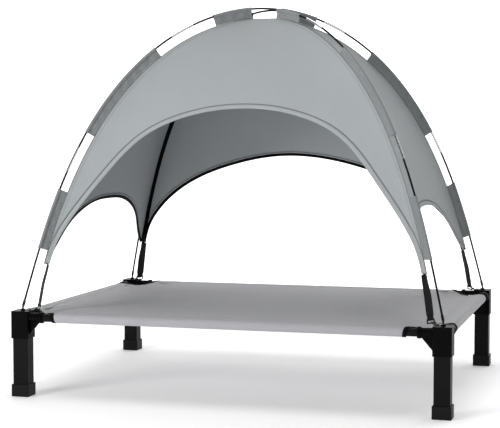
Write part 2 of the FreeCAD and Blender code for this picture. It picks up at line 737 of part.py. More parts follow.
def main():
    os.makedirs("parts", exist_ok=True)
    save_at_corners(leg_tube(), "leg_tube")
    save_at_corners(foot_cap(), "foot_cap")
    save_at_corners(corner_bracket(), "corner_bracket")
    save(frame_tube(CORNER_X - TUBE_END_GAP - TUBE_END_PLAY, -TUBE_Y, True), "frame_tube_front")
    save(frame_tube(CORNER_X - TUBE_END_GAP - TUBE_END_PLAY, TUBE_Y, True), "frame_tube_back")
    save(frame_tube(CORNER_Y - TUBE_END_GAP - TUBE_END_PLAY, -TUBE_X, False), "frame_tube_left")
    save(frame_tube(CORNER_Y - TUBE_END_GAP - TUBE_END_PLAY, TUBE_X, False), "frame_tube_right")
    save_sling()
    upper = Pole(UPPER_CROWN)
    lower = Pole(LOWER_CROWN)
    save_pole(upper, "upper_pole", 1)
    save_pole(lower, "lower_pole", -1)
    save_skin(upper)
    sleeves = {
        1: in_diagonal_plane(pole_sleeves(upper, upper)),
        -1: in_diagonal_plane(pole_sleeves(lower, upper)),
    }
    for corner, (side_x, side_y) in CORNERS.items():
        save(mirrored(sleeves[side_x * side_y], side_x, side_y), f"pole_sleeves_{corner}")
    save_at_corners(in_diagonal_plane(corner_strap()), "corner_strap")
    save_at_corners(in_diagonal_plane(strap_ring()), "strap_ring")
    save_at_corners(in_diagonal_plane(strap_hook()), "strap_hook")
    screw = in_diagonal_plane(hook_screw())
    save(Part.Compound([mirrored(screw, *sides) for sides in CORNERS.values()]), "hook_screws")


main()
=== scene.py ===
import math

import bpy
import numpy as np
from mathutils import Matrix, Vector, geometry


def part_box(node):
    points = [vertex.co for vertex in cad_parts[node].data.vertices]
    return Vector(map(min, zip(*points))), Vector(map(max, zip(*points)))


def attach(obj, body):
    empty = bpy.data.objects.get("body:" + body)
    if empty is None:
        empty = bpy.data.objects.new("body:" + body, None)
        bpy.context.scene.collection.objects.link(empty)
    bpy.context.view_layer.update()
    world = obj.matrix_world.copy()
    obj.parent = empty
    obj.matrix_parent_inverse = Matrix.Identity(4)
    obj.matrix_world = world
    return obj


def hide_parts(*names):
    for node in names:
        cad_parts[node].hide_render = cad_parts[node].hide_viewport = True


# The raised dog bed with its lift-off canopy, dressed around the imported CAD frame. Metres, +Z up,
# +X to the right, -Y to the front, origin on the floor under the middle of the bed.

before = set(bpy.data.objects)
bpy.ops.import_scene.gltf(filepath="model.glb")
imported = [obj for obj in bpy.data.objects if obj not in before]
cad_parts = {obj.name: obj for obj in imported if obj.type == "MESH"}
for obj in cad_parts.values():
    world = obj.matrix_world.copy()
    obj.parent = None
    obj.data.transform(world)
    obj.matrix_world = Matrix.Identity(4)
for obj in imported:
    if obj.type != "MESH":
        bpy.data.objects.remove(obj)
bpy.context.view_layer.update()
MM = 0.001

CORNERS = {
    "front_left": (-1, -1),
    "front_right": (1, -1),
    "back_left": (-1, 1),
    "back_right": (1, 1),
}

# ---------------------------------------------------------------- places taken from the frame

LEG_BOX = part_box("leg_tube_back_right")
CORNER_X = (LEG_BOX[0].x + LEG_BOX[1].x) / 2
CORNER_Y = (LEG_BOX[0].y + LEG_BOX[1].y) / 2
CORNER_REACH = math.hypot(CORNER_X, CORNER_Y)
ALONG_X = CORNER_X / CORNER_REACH
ALONG_Y = CORNER_Y / CORNER_REACH
BOSS_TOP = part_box("corner_bracket_back_right")[1].z
SIDE_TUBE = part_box("frame_tube_right")
BACK_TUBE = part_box("frame_tube_back")
TUBE_X = (SIDE_TUBE[0].x + SIDE_TUBE[1].x) / 2
TUBE_Y = (BACK_TUBE[0].y + BACK_TUBE[1].y) / 2
TUBE_HEIGHT = (BACK_TUBE[0].z + BACK_TUBE[1].z) / 2
TUBE_RADIUS = (BACK_TUBE[1].z - BACK_TUBE[0].z) / 2
POLE_RADIUS = 2.8 * MM
UPPER_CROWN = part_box("upper_pole_rods")[1].z - POLE_RADIUS
LOWER_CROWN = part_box("lower_pole_rods")[1].z - POLE_RADIUS

# Sizes of the CAD source. The web's foot, the side arches and the top sleeves' ends differ from it a
# little, because the soft pieces follow the photo more closely.
TIP_BEND_RADIUS = 30 * MM
PIN_ABOVE_BOSS = 1 * MM
POLE_ARCS = 10
BEND_FADE = 1.95
WEB_CROWN = 29 * MM
WEB_WAIST = 23 * MM
WEB_WAIST_SHARE = 0.75
WEB_FOOT = 68.8 * MM
WEB_SWEEP = 7
SKIN_HEM_HEIGHT = 365.5 * MM
# Where the sleeves start and end along their pole from its crown, in mm; the first differs by corner
FIRST_SLEEVE = {
    "front_left": (49, 169),
    "front_right": (48, 155),
    "back_left": (70, 169),
    "back_right": (48, 161),
}
LOWER_SLEEVES = ((368, 681), (858, 1031))
# Each arch, in mm: the height of its top, points (from its middle, height) down one side, and how far
# inside the ridge its foot is
FRONT_ARCH = (808, ((147, 788), (284, 721), (386, 605), (473, 482), (502, 427)), 15)
BACK_ARCH = (664, ((178, 638), (330, 581), (420, 521), (467, 474), (503, 420)), 15)
SIDE_ARCH = (530, ((100, 525), (200, 502), (280, 460), (335, 405)), 16)
# The strap's top and its ring's middle: (reach from the bed's middle, height) in a corner's plane
STRAP_TOP = np.array((659.0, 362.0)) * MM
RING_CENTRE = np.array((681.0, 245.0)) * MM
RING_DEPTH = 12.2 * MM
RING_BAR = 3 * MM


class Pole:
    """One bent pole in its own upright plane, as tangent arcs on each side of its crown."""

    def __init__(self, crown):
        self.crown = crown
        drop_to_pin = crown - BOSS_TOP - PIN_ABOVE_BOSS
        low, high = math.radians(60), math.radians(88)
        for _ in range(40):
            self.end_slope = (low + high) / 2
            self.length = 1.0
            across, down = self.offset(1.0)
            reach = CORNER_REACH - TIP_BEND_RADIUS * (1 - math.sin(self.end_slope))
            drop = drop_to_pin - TIP_BEND_RADIUS * math.cos(self.end_slope)
            if down / across < drop / reach:
                low = self.end_slope
            else:
                high = self.end_slope
        self.length = reach / across

    def slope(self, place):
        return self.end_slope * (1 - max(0.0, 1 - place / self.length) ** BEND_FADE)

    def offset(self, place):
        """How far across and down a place is from the crown."""
        across = down = start = 0.0
        step = self.length / POLE_ARCS
        while start < place - 1e-9:
            share = min(1.0, (place - start) / step)
            turn = (self.slope(start + step) - self.slope(start)) * share
            chord = step * share
            if turn > 1e-9:
                chord *= math.sin(turn / 2) / (turn / 2)
            across += chord * math.cos(self.slope(start) + turn / 2)
            down += chord * math.sin(self.slope(start) + turn / 2)
            start += step
        return across, down

    def frame_at(self, place):
        """The point (reach, height) on the centre line and the unit vector into the canopy there."""
        across, down = self.offset(place)
        step = self.length / POLE_ARCS
        start = math.floor(place / step) * step
        end = min(start + step, self.length)
        slope = self.slope(start) + (self.slope(end) - self.slope(start)) * (place - start) / step
        point = np.array((across, self.crown - down))
        return point, np.array((-math.sin(slope), -math.cos(slope)))


UPPER = Pole(UPPER_CROWN)
LOWER = Pole(LOWER_CROWN)


def ridge_at(place):
    """The canopy's ridge (reach, height) under the upper pole."""
    share = place / UPPER.length
    if share < WEB_WAIST_SHARE:
        web = WEB_CROWN + (WEB_WAIST - WEB_CROWN) * share / WEB_WAIST_SHARE
    else:
        past_waist = (share - WEB_WAIST_SHARE) / (1 - WEB_WAIST_SHARE)
        web = WEB_WAIST + (WEB_FOOT - WEB_WAIST) * past_waist**WEB_SWEEP
    point, inwards = UPPER.frame_at(place)
    return point + inwards * web


RIDGE = np.array([ridge_at(UPPER.length * 0.985 * i / 400) for i in range(401)])
RIDGE[0, 0] = 0.0

# ---------------------------------------------------------------- mesh tools


def make_mesh(name, points, faces, uvs=None, attributes=None):
    """A smooth mesh object. uvs has one (u, v) in metres for each corner of each face."""
    mesh = bpy.data.meshes.new(name)
    mesh.from_pydata([tuple(p) for p in points], [], faces)
    mesh.validate()
    if uvs is not None:
        layer = mesh.uv_layers.new(name="cloth")
        layer.data.foreach_set("uv", np.asarray(uvs, np.float32).ravel())
    for key, values in (attributes or {}).items():
        attribute = mesh.attributes.new(key, "FLOAT", "POINT")
        attribute.data.foreach_set("value", np.asarray(values, np.float32).ravel())
    mesh.polygons.foreach_set("use_smooth", [True] * len(mesh.polygons))
    mesh.update()
    piece = bpy.data.objects.new(name, mesh)
    bpy.context.scene.collection.objects.link(piece)
    return piece


def loft(loops, uvs=None, start=0):
    """Faces and corner UVs of a closed section swept through its stations, with both ends capped.

    loops is stations x section x 3; uvs is stations x (section + 1) x 2."""
    stations, section = loops.shape[:2]
    faces = []
    corner_uvs = []
    for i in range(stations - 1):
        for j in range(section):
            k = (j + 1) % section
            base = start + i * section
            faces.append((base + j, base + k, base + section + k, base + section + j))
            if uvs is not None:
                corner_uvs += [uvs[i, j], uvs[i, j + 1], uvs[i + 1, j + 1], uvs[i + 1, j]]
    last = start + (stations - 1) * section
    faces.append(tuple(start + j for j in range(section))[::-1])
    faces.append(tuple(last + j for j in range(section)))
    if uvs is not None:
        corner_uvs += [uvs[0, j] for j in range(section)][::-1]
        corner_uvs += [uvs[-1, j] for j in range(section)]
    return faces, corner_uvs


def turn_faces_out(piece):
    """Makes a closed mesh's faces look outwards, whichever way its section was listed."""
    mesh = piece.data
    mesh.calc_loop_triangles()
    points = np.array([v.co for v in mesh.vertices])
    triangles = np.array([t.vertices for t in mesh.loop_triangles])
    a, b, c = (points[triangles[:, i]] for i in range(3))
    if np.einsum("ij,ij->i", a, np.cross(b, c)).sum() < 0:
        mesh.flip_normals()
    return piece


def lofted(name, parts, attributes=None):
    """One object from several closed lofts: parts is a list of (loops, uvs)."""
    points, faces, uvs = [], [], []
    for loops, part_uvs in parts:
        part_faces, corner_uvs = loft(loops, part_uvs, len(points))
        points += list(loops.reshape(-1, 3))
        faces += part_faces
        uvs += corner_uvs
    return turn_faces_out(make_mesh(name, points, faces, uvs if uvs else None, attributes))


def smooth_curve(points, count):
    """count points evenly along the natural cubic spline through some plane points."""
    points = np.asarray(points, float)
    knots = run_along(points)
    gaps = np.diff(knots)
    size = len(points)
    matrix = np.eye(size)
    right = np.zeros((size, 2))
    for i in range(1, size - 1):
        matrix[i, i - 1 : i + 2] = gaps[i - 1], 2 * (gaps[i - 1] + gaps[i]), gaps[i]
        right[i] = 6 * ((points[i + 1] - points[i]) / gaps[i] - (points[i] - points[i - 1]) / gaps[i - 1])
    bends = np.linalg.solve(matrix, right)
    at = np.linspace(0, knots[-1], 12 * count)
    i = np.clip(np.searchsorted(knots, at, side="right") - 1, 0, size - 2)
    gap = gaps[i][:, None]
    before, after = (knots[i + 1] - at)[:, None], (at - knots[i])[:, None]
    dense = (
        (bends[i] * before**3 + bends[i + 1] * after**3) / (6 * gap)
        + (points[i] / gap - bends[i] * gap / 6) * before
        + (points[i + 1] / gap - bends[i + 1] * gap / 6) * after
    )
    return even(dense, count)


def even(points, count):
    """count points evenly spaced along a polyline."""
    lengths = run_along(points)
    at = np.linspace(0, lengths[-1], count)
    return np.stack([np.interp(at, lengths, points[:, k]) for k in range(points.shape[1])], axis=1)


def tangents(points):
    step = np.gradient(points, axis=0)
    return step / np.linalg.norm(step, axis=1, keepdims=True)


def right_of(line):
    """Unit vectors in the plane to the right of a line's run."""
    along = tangents(line)
    return np.stack([along[:, 1], -along[:, 0]], axis=1)


def run_along(points):
    """How far each point is along its polyline."""
    return np.concatenate(([0.0], np.cumsum(np.linalg.norm(np.diff(points, axis=0), axis=1))))


def length_of(points):
    return float(run_along(points)[-1])


def cloth_places(across, run):
    """UVs of a swept section: each station's run, and each section point's place across."""
    return np.stack(np.broadcast_arrays(np.asarray(across)[None, :], np.asarray(run)[:, None]), axis=2)


def area_under(heights, places):
    return float(((heights[1:] + heights[:-1]) / 2 * np.diff(places)).sum())


def smooth_step(x):
    x = np.clip(x, 0, 1)
    return x * x * (3 - 2 * x)


def ripple(x, y, seed):
    """Soft uneven relief from -1 to 1, as a few crossing waves about 1 long."""
    total = 0.0
    for k in range(4):
        angle = seed * 2.1 + k * 2.4
        scale = 2 * math.pi * (0.6 + 0.28 * k)
        total = total + np.sin((x * math.cos(angle) + y * math.sin(angle)) * scale + seed * 3.7 + k * 1.9)
    return total / 4


def put_at_corner(points, side_x, side_y):
    """Points (reach, across, height) in the plane of a pole, moved to a corner of the bed."""
    points = np.asarray(points, float)
    reach, across, height = points[..., 0], points[..., 1], points[..., 2]
    x = reach * ALONG_X - across * ALONG_Y
    y = reach * ALONG_Y + across * ALONG_X
    return np.stack([x * side_x, y * side_y, height], axis=-1)


# ---------------------------------------------------------------- stitches

STITCH_LENGTH = 2.9 * MM
STITCH_PITCH = 3.9 * MM
THREAD_RADIUS = 0.38 * MM
THREAD_SIDES = 5
# Rings of a stitch, in half lengths along it and thread radii: place, fullness and lift
THREAD_RINGS = ((-1.0, 0.35, -0.7), (-0.72, 0.9, 0.0), (0.0, 1.0, 0.35), (0.72, 0.9, 0.0), (1.0, 0.35, -0.7))


def stitch_points(line, normals, pitch=STITCH_PITCH):
    """Centres, directions and normals of the stitches along a line of points."""
    count = max(2, int(length_of(line) / pitch))
    both = even(np.hstack([line, normals]), 2 * count + 1)
    centres = both[1::2, :3]
    directions = both[2::2, :3] - both[:-2:2, :3]
    return centres, directions / np.linalg.norm(directions, axis=1, keepdims=True), both[1::2, 3:]


def plump_thread():
    """One stitch as rings of points (along, aside, up) about its centre."""
    points = []
    for along, fullness, lift in THREAD_RINGS:
        for k in range(THREAD_SIDES):
            angle = 2 * math.pi * k / THREAD_SIDES
            aside, up = math.cos(angle) * fullness, math.sin(angle) * fullness + lift
            points.append((along * STITCH_LENGTH / 2, aside * THREAD_RADIUS, up * THREAD_RADIUS))
    return np.array(points)


def stitches(name, rows, body, material):
    """Every stitch of some rows as a short plump thread, in one object."""
    centres, directions, normals = (np.vstack(part) for part in zip(*rows))
    normals = normals - directions * np.einsum("ij,ij->i", normals, directions)[:, None]
    normals /= np.linalg.norm(normals, axis=1, keepdims=True)
    template = plump_thread()
    points = centres[:, None]
    for k, axis in enumerate((directions, np.cross(directions, normals), normals)):
        points = points + axis[:, None] * template[None, :, k : k + 1]
    faces, _ = loft(template.reshape(len(THREAD_RINGS), THREAD_SIDES, 3))
    every = [tuple(v + i * len(template) for v in face) for i in range(len(centres)) for face in faces]
    piece = turn_faces_out(make_mesh(name, points.reshape(-1, 3), every))
    return finish_piece(piece, body, material)


def finish_piece(piece, body, material, replaces=()):
    """Gives a piece its material and slot, and the body and CAD nodes that it belongs to."""
    piece.data.materials.append(material)
    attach(piece, body)
    if replaces:
        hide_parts(*replaces)
    return piece


# ---------------------------------------------------------------- materials


class Nodes:
    """A new material with short calls for its nodes."""

    def __init__(self, name):
        self.material = bpy.data.materials.new(name)
        self.material.use_nodes = True
        self.tree = self.material.node_tree
        self.shader = self.tree.nodes["Principled BSDF"]
        self.output = self.tree.nodes["Material Output"]

    def add(self, kind, inputs=None, **settings):
        node = self.tree.nodes.new(kind)
        for key, value in settings.items():
            setattr(node, key, value)
        for key, value in (inputs or {}).items():
            if isinstance(value, bpy.types.NodeSocket):
                self.tree.links.new(value, node.inputs[key])
            else:
                node.inputs[key].default_value = value
        return node

    def math(self, operation, *values):
        return self.add("ShaderNodeMath", dict(enumerate(values)), operation=operation).outputs[0]

    def product(self, first, *others):
        for other in others:
            first = self.math("MULTIPLY", first, other)
        return first

    def total(self, first, second):
        return self.math("ADD", first, second)

    def vector_math(self, operation, inputs, output=0):
        return self.add("ShaderNodeVectorMath", inputs, operation=operation).outputs[output]

    def axes(self, vector):
        return self.add("ShaderNodeSeparateXYZ", {0: vector}).outputs

    def colour(self, level, tint=None):
        """A level as a colour. A tint has the share of each channel, and None leaves it as it is."""
        shares = zip(("Red", "Green", "Blue"), tint or (None, None, None))
        channels = {key: level if share is None else self.product(level, share) for key, share in shares}
        return self.add("ShaderNodeCombineColor", channels).outputs[0]

    def noise(self, vector, scale, detail=3.0, roughness=0.55):
        inputs = {"Vector": vector, "Scale": scale, "Detail": detail, "Roughness": roughness}
        return self.add("ShaderNodeTexNoise", inputs).outputs[0]

    def stretched(self, vector, scale):
        return self.add("ShaderNodeMapping", {"Vector": vector, "Scale": scale}).outputs[0]

    def ramp(self, factor, stops):
        node = self.add("ShaderNodeValToRGB", {"Fac": factor})
        elements = node.color_ramp.elements
        while len(elements) < len(stops):
            elements.new(0.5)
        for element, (position, colour) in zip(elements, stops):
            element.position = position
            element.color = colour
        return node.outputs[0]

    def ranged(self, value, low, high, start=0.0, end=1.0, **settings):
        inputs = {"Value": value, "From Min": start, "From Max": end, "To Min": low, "To Max": high}
        return self.add("ShaderNodeMapRange", inputs, **settings).outputs[0]

    def bump(self, height, distance, strength=1.0, normal=None):
        inputs = {"Height": height, "Distance": distance, "Strength": strength}
        if normal is not None:
            inputs["Normal"] = normal
        return self.add("ShaderNodeBump", inputs).outputs[0]

    def place(self):
        """The point in the row's frame."""
        return self.add("ShaderNodeTexCoord").outputs["Object"]

    def cloth(self):
        """The point on the flat cloth, in metres."""
        return self.add("ShaderNodeUVMap", uv_map="cloth").outputs[0]

    def attribute(self, name):
        return self.add("ShaderNodeAttribute", attribute_name=name).outputs["Fac"]

    def set(self, **inputs):
        for key, value in inputs.items():
            socket = self.shader.inputs[key.replace("_", " ")]
            if isinstance(value, bpy.types.NodeSocket):
                self.tree.links.new(value, socket)
            else:
                socket.default_value = value
        return self.material


def weave(nodes, cloth, pitch):
    """Plain-weave relief from 0 to 1: warp and weft yarns that pass over and under each other."""
    split = nodes.axes(nodes.vector_math("SCALE", {0: cloth, "Scale": math.pi / pitch}))
    warp_wave = nodes.math("SINE", split[0])
    weft_wave = nodes.math("SINE", split[1])
    raised = nodes.ranged(nodes.product(warp_wave, weft_wave), -0.5, 0.5)
    warp_top = nodes.product(nodes.math("ABSOLUTE", warp_wave), nodes.total(raised, 0.8))
    weft_top = nodes.product(nodes.math("ABSOLUTE", weft_wave), nodes.math("SUBTRACT", 0.8, raised))
    return nodes.math("MAXIMUM", warp_top, weft_top)


# Painted shade in the hem's groove and beside the ridge seams, and a faint painted highlight on the hem
# band: how much of the cloth's colour is kept, by distance in mm from the arch and from the ridges
HEM_PAINTED_LIGHT = ((0.0, 1.0), (12.2, 1.05), (13.0, 0.46), (14.8, 0.46), (16.4, 0.95), (19.0, 1.0))
RIDGE_PAINTED_SHADE = ((0.0, 0.45), (1.6, 0.55), (3.2, 0.96), (8.2, 1.0), (9.0, 0.8), (9.8, 0.8), (10.6, 1.0))
BRIGHTEST_LINE = 1.1


def fold_shadow(nodes, distance, lines):
    """Painted shade: dark lines where the cloth is folded and sewn, as a factor on its colour."""
    reach = lines[-1][0] * MM
    gap = nodes.math("DIVIDE", nodes.attribute(distance), reach)
    stops = [(place * MM / reach, (*[level / BRIGHTEST_LINE] * 3, 1)) for place, level in lines]
    return nodes.product(nodes.ramp(gap, stops), BRIGHTEST_LINE)


def fabric(name, base, tint, pitch, relief, through, roughness=0.82, sheen=0.12, painted_seam_shade=False):
    """Woven polyester: a fine plain weave with painted shade in its hollows, uneven yarns and soft creases,
    painted shade along hems and seams where asked, and some light let through.
    """
    nodes = Nodes(name)
    cloth = nodes.cloth()
    place = nodes.place()
    threads = weave(nodes, cloth, pitch)
    slubs = nodes.noise(nodes.stretched(cloth, (1400, 90, 1)), 1.0, 2.0)
    picks = nodes.noise(nodes.stretched(cloth, (90, 1400, 1)), 1.0, 2.0)
    yarns = nodes.total(slubs, picks)
    wear = nodes.noise(place, 7.0, 4.0, 0.6)
    # Painted shade in the weave's hollows and a faint painted highlight on the yarn crossings: the colour
    # follows the weave's relief
    hollow = nodes.ranged(threads, 0.9, 1.04)
    tone = nodes.product(hollow, nodes.ranged(yarns, 0.86, 1.14), nodes.ranged(wear, 0.955, 1.045), base)
    if painted_seam_shade:
        # Painted shade along the hem's groove, with a faint painted highlight on the hem band
        tone = nodes.product(tone, fold_shadow(nodes, "from_hem", HEM_PAINTED_LIGHT))
        # Painted shade beside the ridge seams and along the second row of stitches
        tone = nodes.product(tone, fold_shadow(nodes, "from_ridge", RIDGE_PAINTED_SHADE))
    colour = nodes.colour(tone, tint)
    soft = nodes.noise(nodes.stretched(place, (26, 26, 9)), 1.0, 3.0, 0.5)
    creased = nodes.bump(soft, 2.2 * MM, 0.35)
    woven = nodes.bump(threads, relief, 0.8, creased)
    rough = nodes.ranged(wear, roughness - 0.07, roughness + 0.07)
    material = nodes.set(
        Base_Color=colour, Roughness=rough, Normal=woven, Sheen_Weight=sheen, Sheen_Roughness=0.45,
        Specular_IOR_Level=0.32,
    )
    if through > 0:
        behind = nodes.add("ShaderNodeBsdfTranslucent", {"Color": colour, "Normal": woven}).outputs[0]
        both = {"Fac": through, 1: nodes.shader.outputs[0], 2: behind}
        mixed = nodes.add("ShaderNodeMixShader", both).outputs[0]
        nodes.tree.links.new(mixed, nodes.output.inputs["Surface"])
    return material


WARP_PITCH = 1.3 * MM


def webbing(name, base, rib_pitch, specular):
    """Black woven tape: ribs across it, a fine weave on the ribs, painted shade between the ribs and painted
    highlight on their tops, and a slightly dusty tone.
    """
    nodes = Nodes(name)
    across, along, _ = nodes.axes(nodes.cloth())
    ribs = nodes.math("ABSOLUTE", nodes.math("SINE", nodes.product(along, math.pi / rib_pitch)))
    ends = nodes.math("ABSOLUTE", nodes.math("SINE", nodes.product(across, math.pi / WARP_PITCH)))
    relief = nodes.product(ribs, nodes.ranged(ends, 0.45, 1.0))
    dust = nodes.noise(nodes.place(), 60.0, 3.0)
    # Painted shade between the ribs and painted highlight on their tops, as the colour follows the rib
    # relief; the dust noise adds an uneven tone
    level = nodes.product(nodes.ranged(relief, 0.55, 1.3), nodes.ranged(dust, 0.8 * base, 1.2 * base))
    return nodes.set(
        Base_Color=nodes.colour(level, (None, None, 1.05)), Roughness=nodes.ranged(dust, 0.62, 0.8),
        Normal=nodes.bump(relief, 0.45 * MM, 0.9), Sheen_Weight=specular / 5, Specular_IOR_Level=specular,
    )


def moulded(name, base, roughness, grain, specular):
    """Black moulded plastic or powder coat: fine even grain and soft flow marks."""
    nodes = Nodes(name)
    place = nodes.place()
    speckle = nodes.noise(place, 2600.0, 2.0, 0.7)
    flow = nodes.noise(place, 24.0, 4.0, 0.6)
    level = nodes.ranged(flow, 0.8 * base, 1.2 * base)
    colour = nodes.colour(level, (None, None, 1.04))
    smooth = nodes.ranged(flow, roughness - 0.06, roughness + 0.06)
    rough = nodes.total(smooth, nodes.ranged(speckle, -0.05, 0.05))
    normal = nodes.bump(speckle, grain, 0.7, nodes.bump(flow, 0.3 * MM, 0.15))
    return nodes.set(Base_Color=colour, Roughness=rough, Normal=normal, Specular_IOR_Level=specular)


def drawn_metal(name, base, roughness, direction, dull_past=None):
    """Metal with fine lines along one direction and faint tarnish.

    It is black further than dull_past from the bed's middle in plan."""
    nodes = Nodes(name)
    place = nodes.place()
    lines = nodes.noise(nodes.stretched(place, direction), 1.0, 3.0, 0.6)
    stain = nodes.noise(place, 45.0, 3.0)
    level = nodes.product(nodes.ranged(lines, 0.88, 1.08), nodes.ranged(stain, 0.92 * base, 1.05 * base))
    if dull_past:
        in_plan = nodes.vector_math("MULTIPLY", {0: place, 1: (1, 1, 0)})
        reach = nodes.vector_math("LENGTH", {0: in_plan}, "Value")
        level = nodes.product(level, nodes.ranged(reach, 1.0, 0.04, dull_past, dull_past + 2 * MM))
    drawn = nodes.ranged(lines, roughness - 0.08, roughness + 0.08)
    rough = nodes.total(drawn, nodes.ranged(stain, -0.05, 0.08))
    normal = nodes.bump(lines, 0.05 * MM, 0.5)
    return nodes.set(Base_Color=nodes.colour(level), Metallic=1.0, Roughness=rough, Normal=normal)


def pulled_rod(name):
    """Black fibreglass: faint fibres along it under a smooth resin skin."""
    nodes = Nodes(name)
    place = nodes.place()
    fibres = nodes.noise(nodes.stretched(place, (900, 900, 120)), 1.0, 3.0, 0.65)
    return nodes.set(
        Base_Color=nodes.colour(nodes.ranged(fibres, 0.003, 0.009)),
        Roughness=nodes.ranged(fibres, 0.35, 0.5),
        Normal=nodes.bump(fibres, 0.08 * MM, 0.4),
        Specular_IOR_Level=0.08,
    )


def thread(name, base):
    """Twisted sewing thread."""
    nodes = Nodes(name)
    twist = nodes.noise(nodes.stretched(nodes.place(), (1500, 1500, 1500)), 1.0, 2.0)
    return nodes.set(
        Base_Color=nodes.colour(nodes.ranged(twist, 0.8 * base, 1.15 * base)),
        Roughness=nodes.ranged(twist, 0.5, 0.7), Normal=nodes.bump(twist, 0.1 * MM, 0.6),
    )


COOL_GREY = (0.94, 0.995, 1.02)
CANOPY_FABRIC = fabric("canopy_fabric", 0.36, COOL_GREY, 0.75 * MM, 0.16 * MM, 0.3, painted_seam_shade=True)
# The sleeves' cloth is the canopy's cloth at half its brightness: painted shade on the sleeve webs
SHADED_SLEEVE_FABRIC = fabric("sleeve_fabric_painted_shade", 0.18, COOL_GREY, 0.75 * MM, 0.16 * MM, 0.1)
SLING_FABRIC = fabric("sling_fabric", 0.30, (0.985, 0.985, 1.04), 1.1 * MM, 0.3 * MM, 0.0, 0.7, 0.2)
BLACK_WEBBING = webbing("black_webbing", 0.009, 1.9 * MM, 0.16)
BLACK_TAPE = webbing("black_tape", 0.003, 1.2 * MM, 0.05)
LEG_COAT = moulded("leg_coat", 0.006, 0.42, 0.05 * MM, 0.06)
BRACKET_PLASTIC = moulded("bracket_plastic", 0.002, 0.4, 0.04 * MM, 0.035)
FOOT_PLASTIC = moulded("foot_plastic", 0.008, 0.5, 0.06 * MM, 0.1)
RING_PLASTIC = moulded("ring_plastic", 0.004, 0.3, 0.02 * MM, 0.2)
ROD_BLACK = pulled_rod("rod_black")
BRIGHT_STEEL = drawn_metal("bright_steel", 0.7, 0.25, (700, 700, 160))
HOOK_STEEL = drawn_metal("hook_steel", 0.85, 0.3, (700, 700, 160), 684 * MM)
BLACK_STEEL = drawn_metal("black_steel", 0.03, 0.3, (500, 500, 500))
SHOCK_CORD = thread("shock_cord", 0.05)
GREY_THREAD = thread("grey_thread", 0.3)
BLACK_THREAD = thread("black_thread", 0.02)

CAD_MATERIALS = {
    "leg_tube": LEG_COAT,
    "foot_cap": FOOT_PLASTIC,
    "corner_bracket": BRACKET_PLASTIC,
    "frame_tube": LEG_COAT,
    "strap_ring": RING_PLASTIC,
    "strap_hook": HOOK_STEEL,
    "hook_screws": BLACK_STEEL,
    "upper_pole_rods": ROD_BLACK,
    "lower_pole_rods": ROD_BLACK,
    "upper_pole_ferrules": BRIGHT_STEEL,
    "lower_pole_ferrules": BRIGHT_STEEL,
    "upper_pole_tips": BLACK_STEEL,
    "lower_pole_tips": BLACK_STEEL,
    "upper_pole_shock_cord": SHOCK_CORD,
    "lower_pole_shock_cord": SHOCK_CORD,
}
for node_name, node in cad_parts.items():
    for start_of_name, finish in CAD_MATERIALS.items():
        if node_name.startswith(start_of_name):
            for material_slot in node.material_slots:
                material_slot.material = finish

# ---------------------------------------------------------------- canopy panels

CLOTH_THICKNESS = 0.9 * MM
HEM_WIDTH = 13 * MM
HEM_PROUD = 0.7 * MM
HEM_GROOVE = 1.5 * MM
SEAM_TURN = 10 * MM
RIDGE_MITRE = 1.1 * MM
# The hem's share of the cloth's width where an arch comes close to a ridge
HEM_AT_FEET = 0.36
SADDLE = 13 * MM
SADDLE_FADE = 350 * MM
RIDGE_FLARE = 13 * MM
FLARE_REACH = 45 * MM
FLARE_FADE = 120 * MM
CREASE_FADE = 50 * MM
PANEL_COLUMNS = 201
PANEL_ROWS = 30
HEM_SHARES = (0.0, 0.3, 0.6, 0.82, 0.93, 1.0, 1.08, 1.25, 1.6, 2.2)


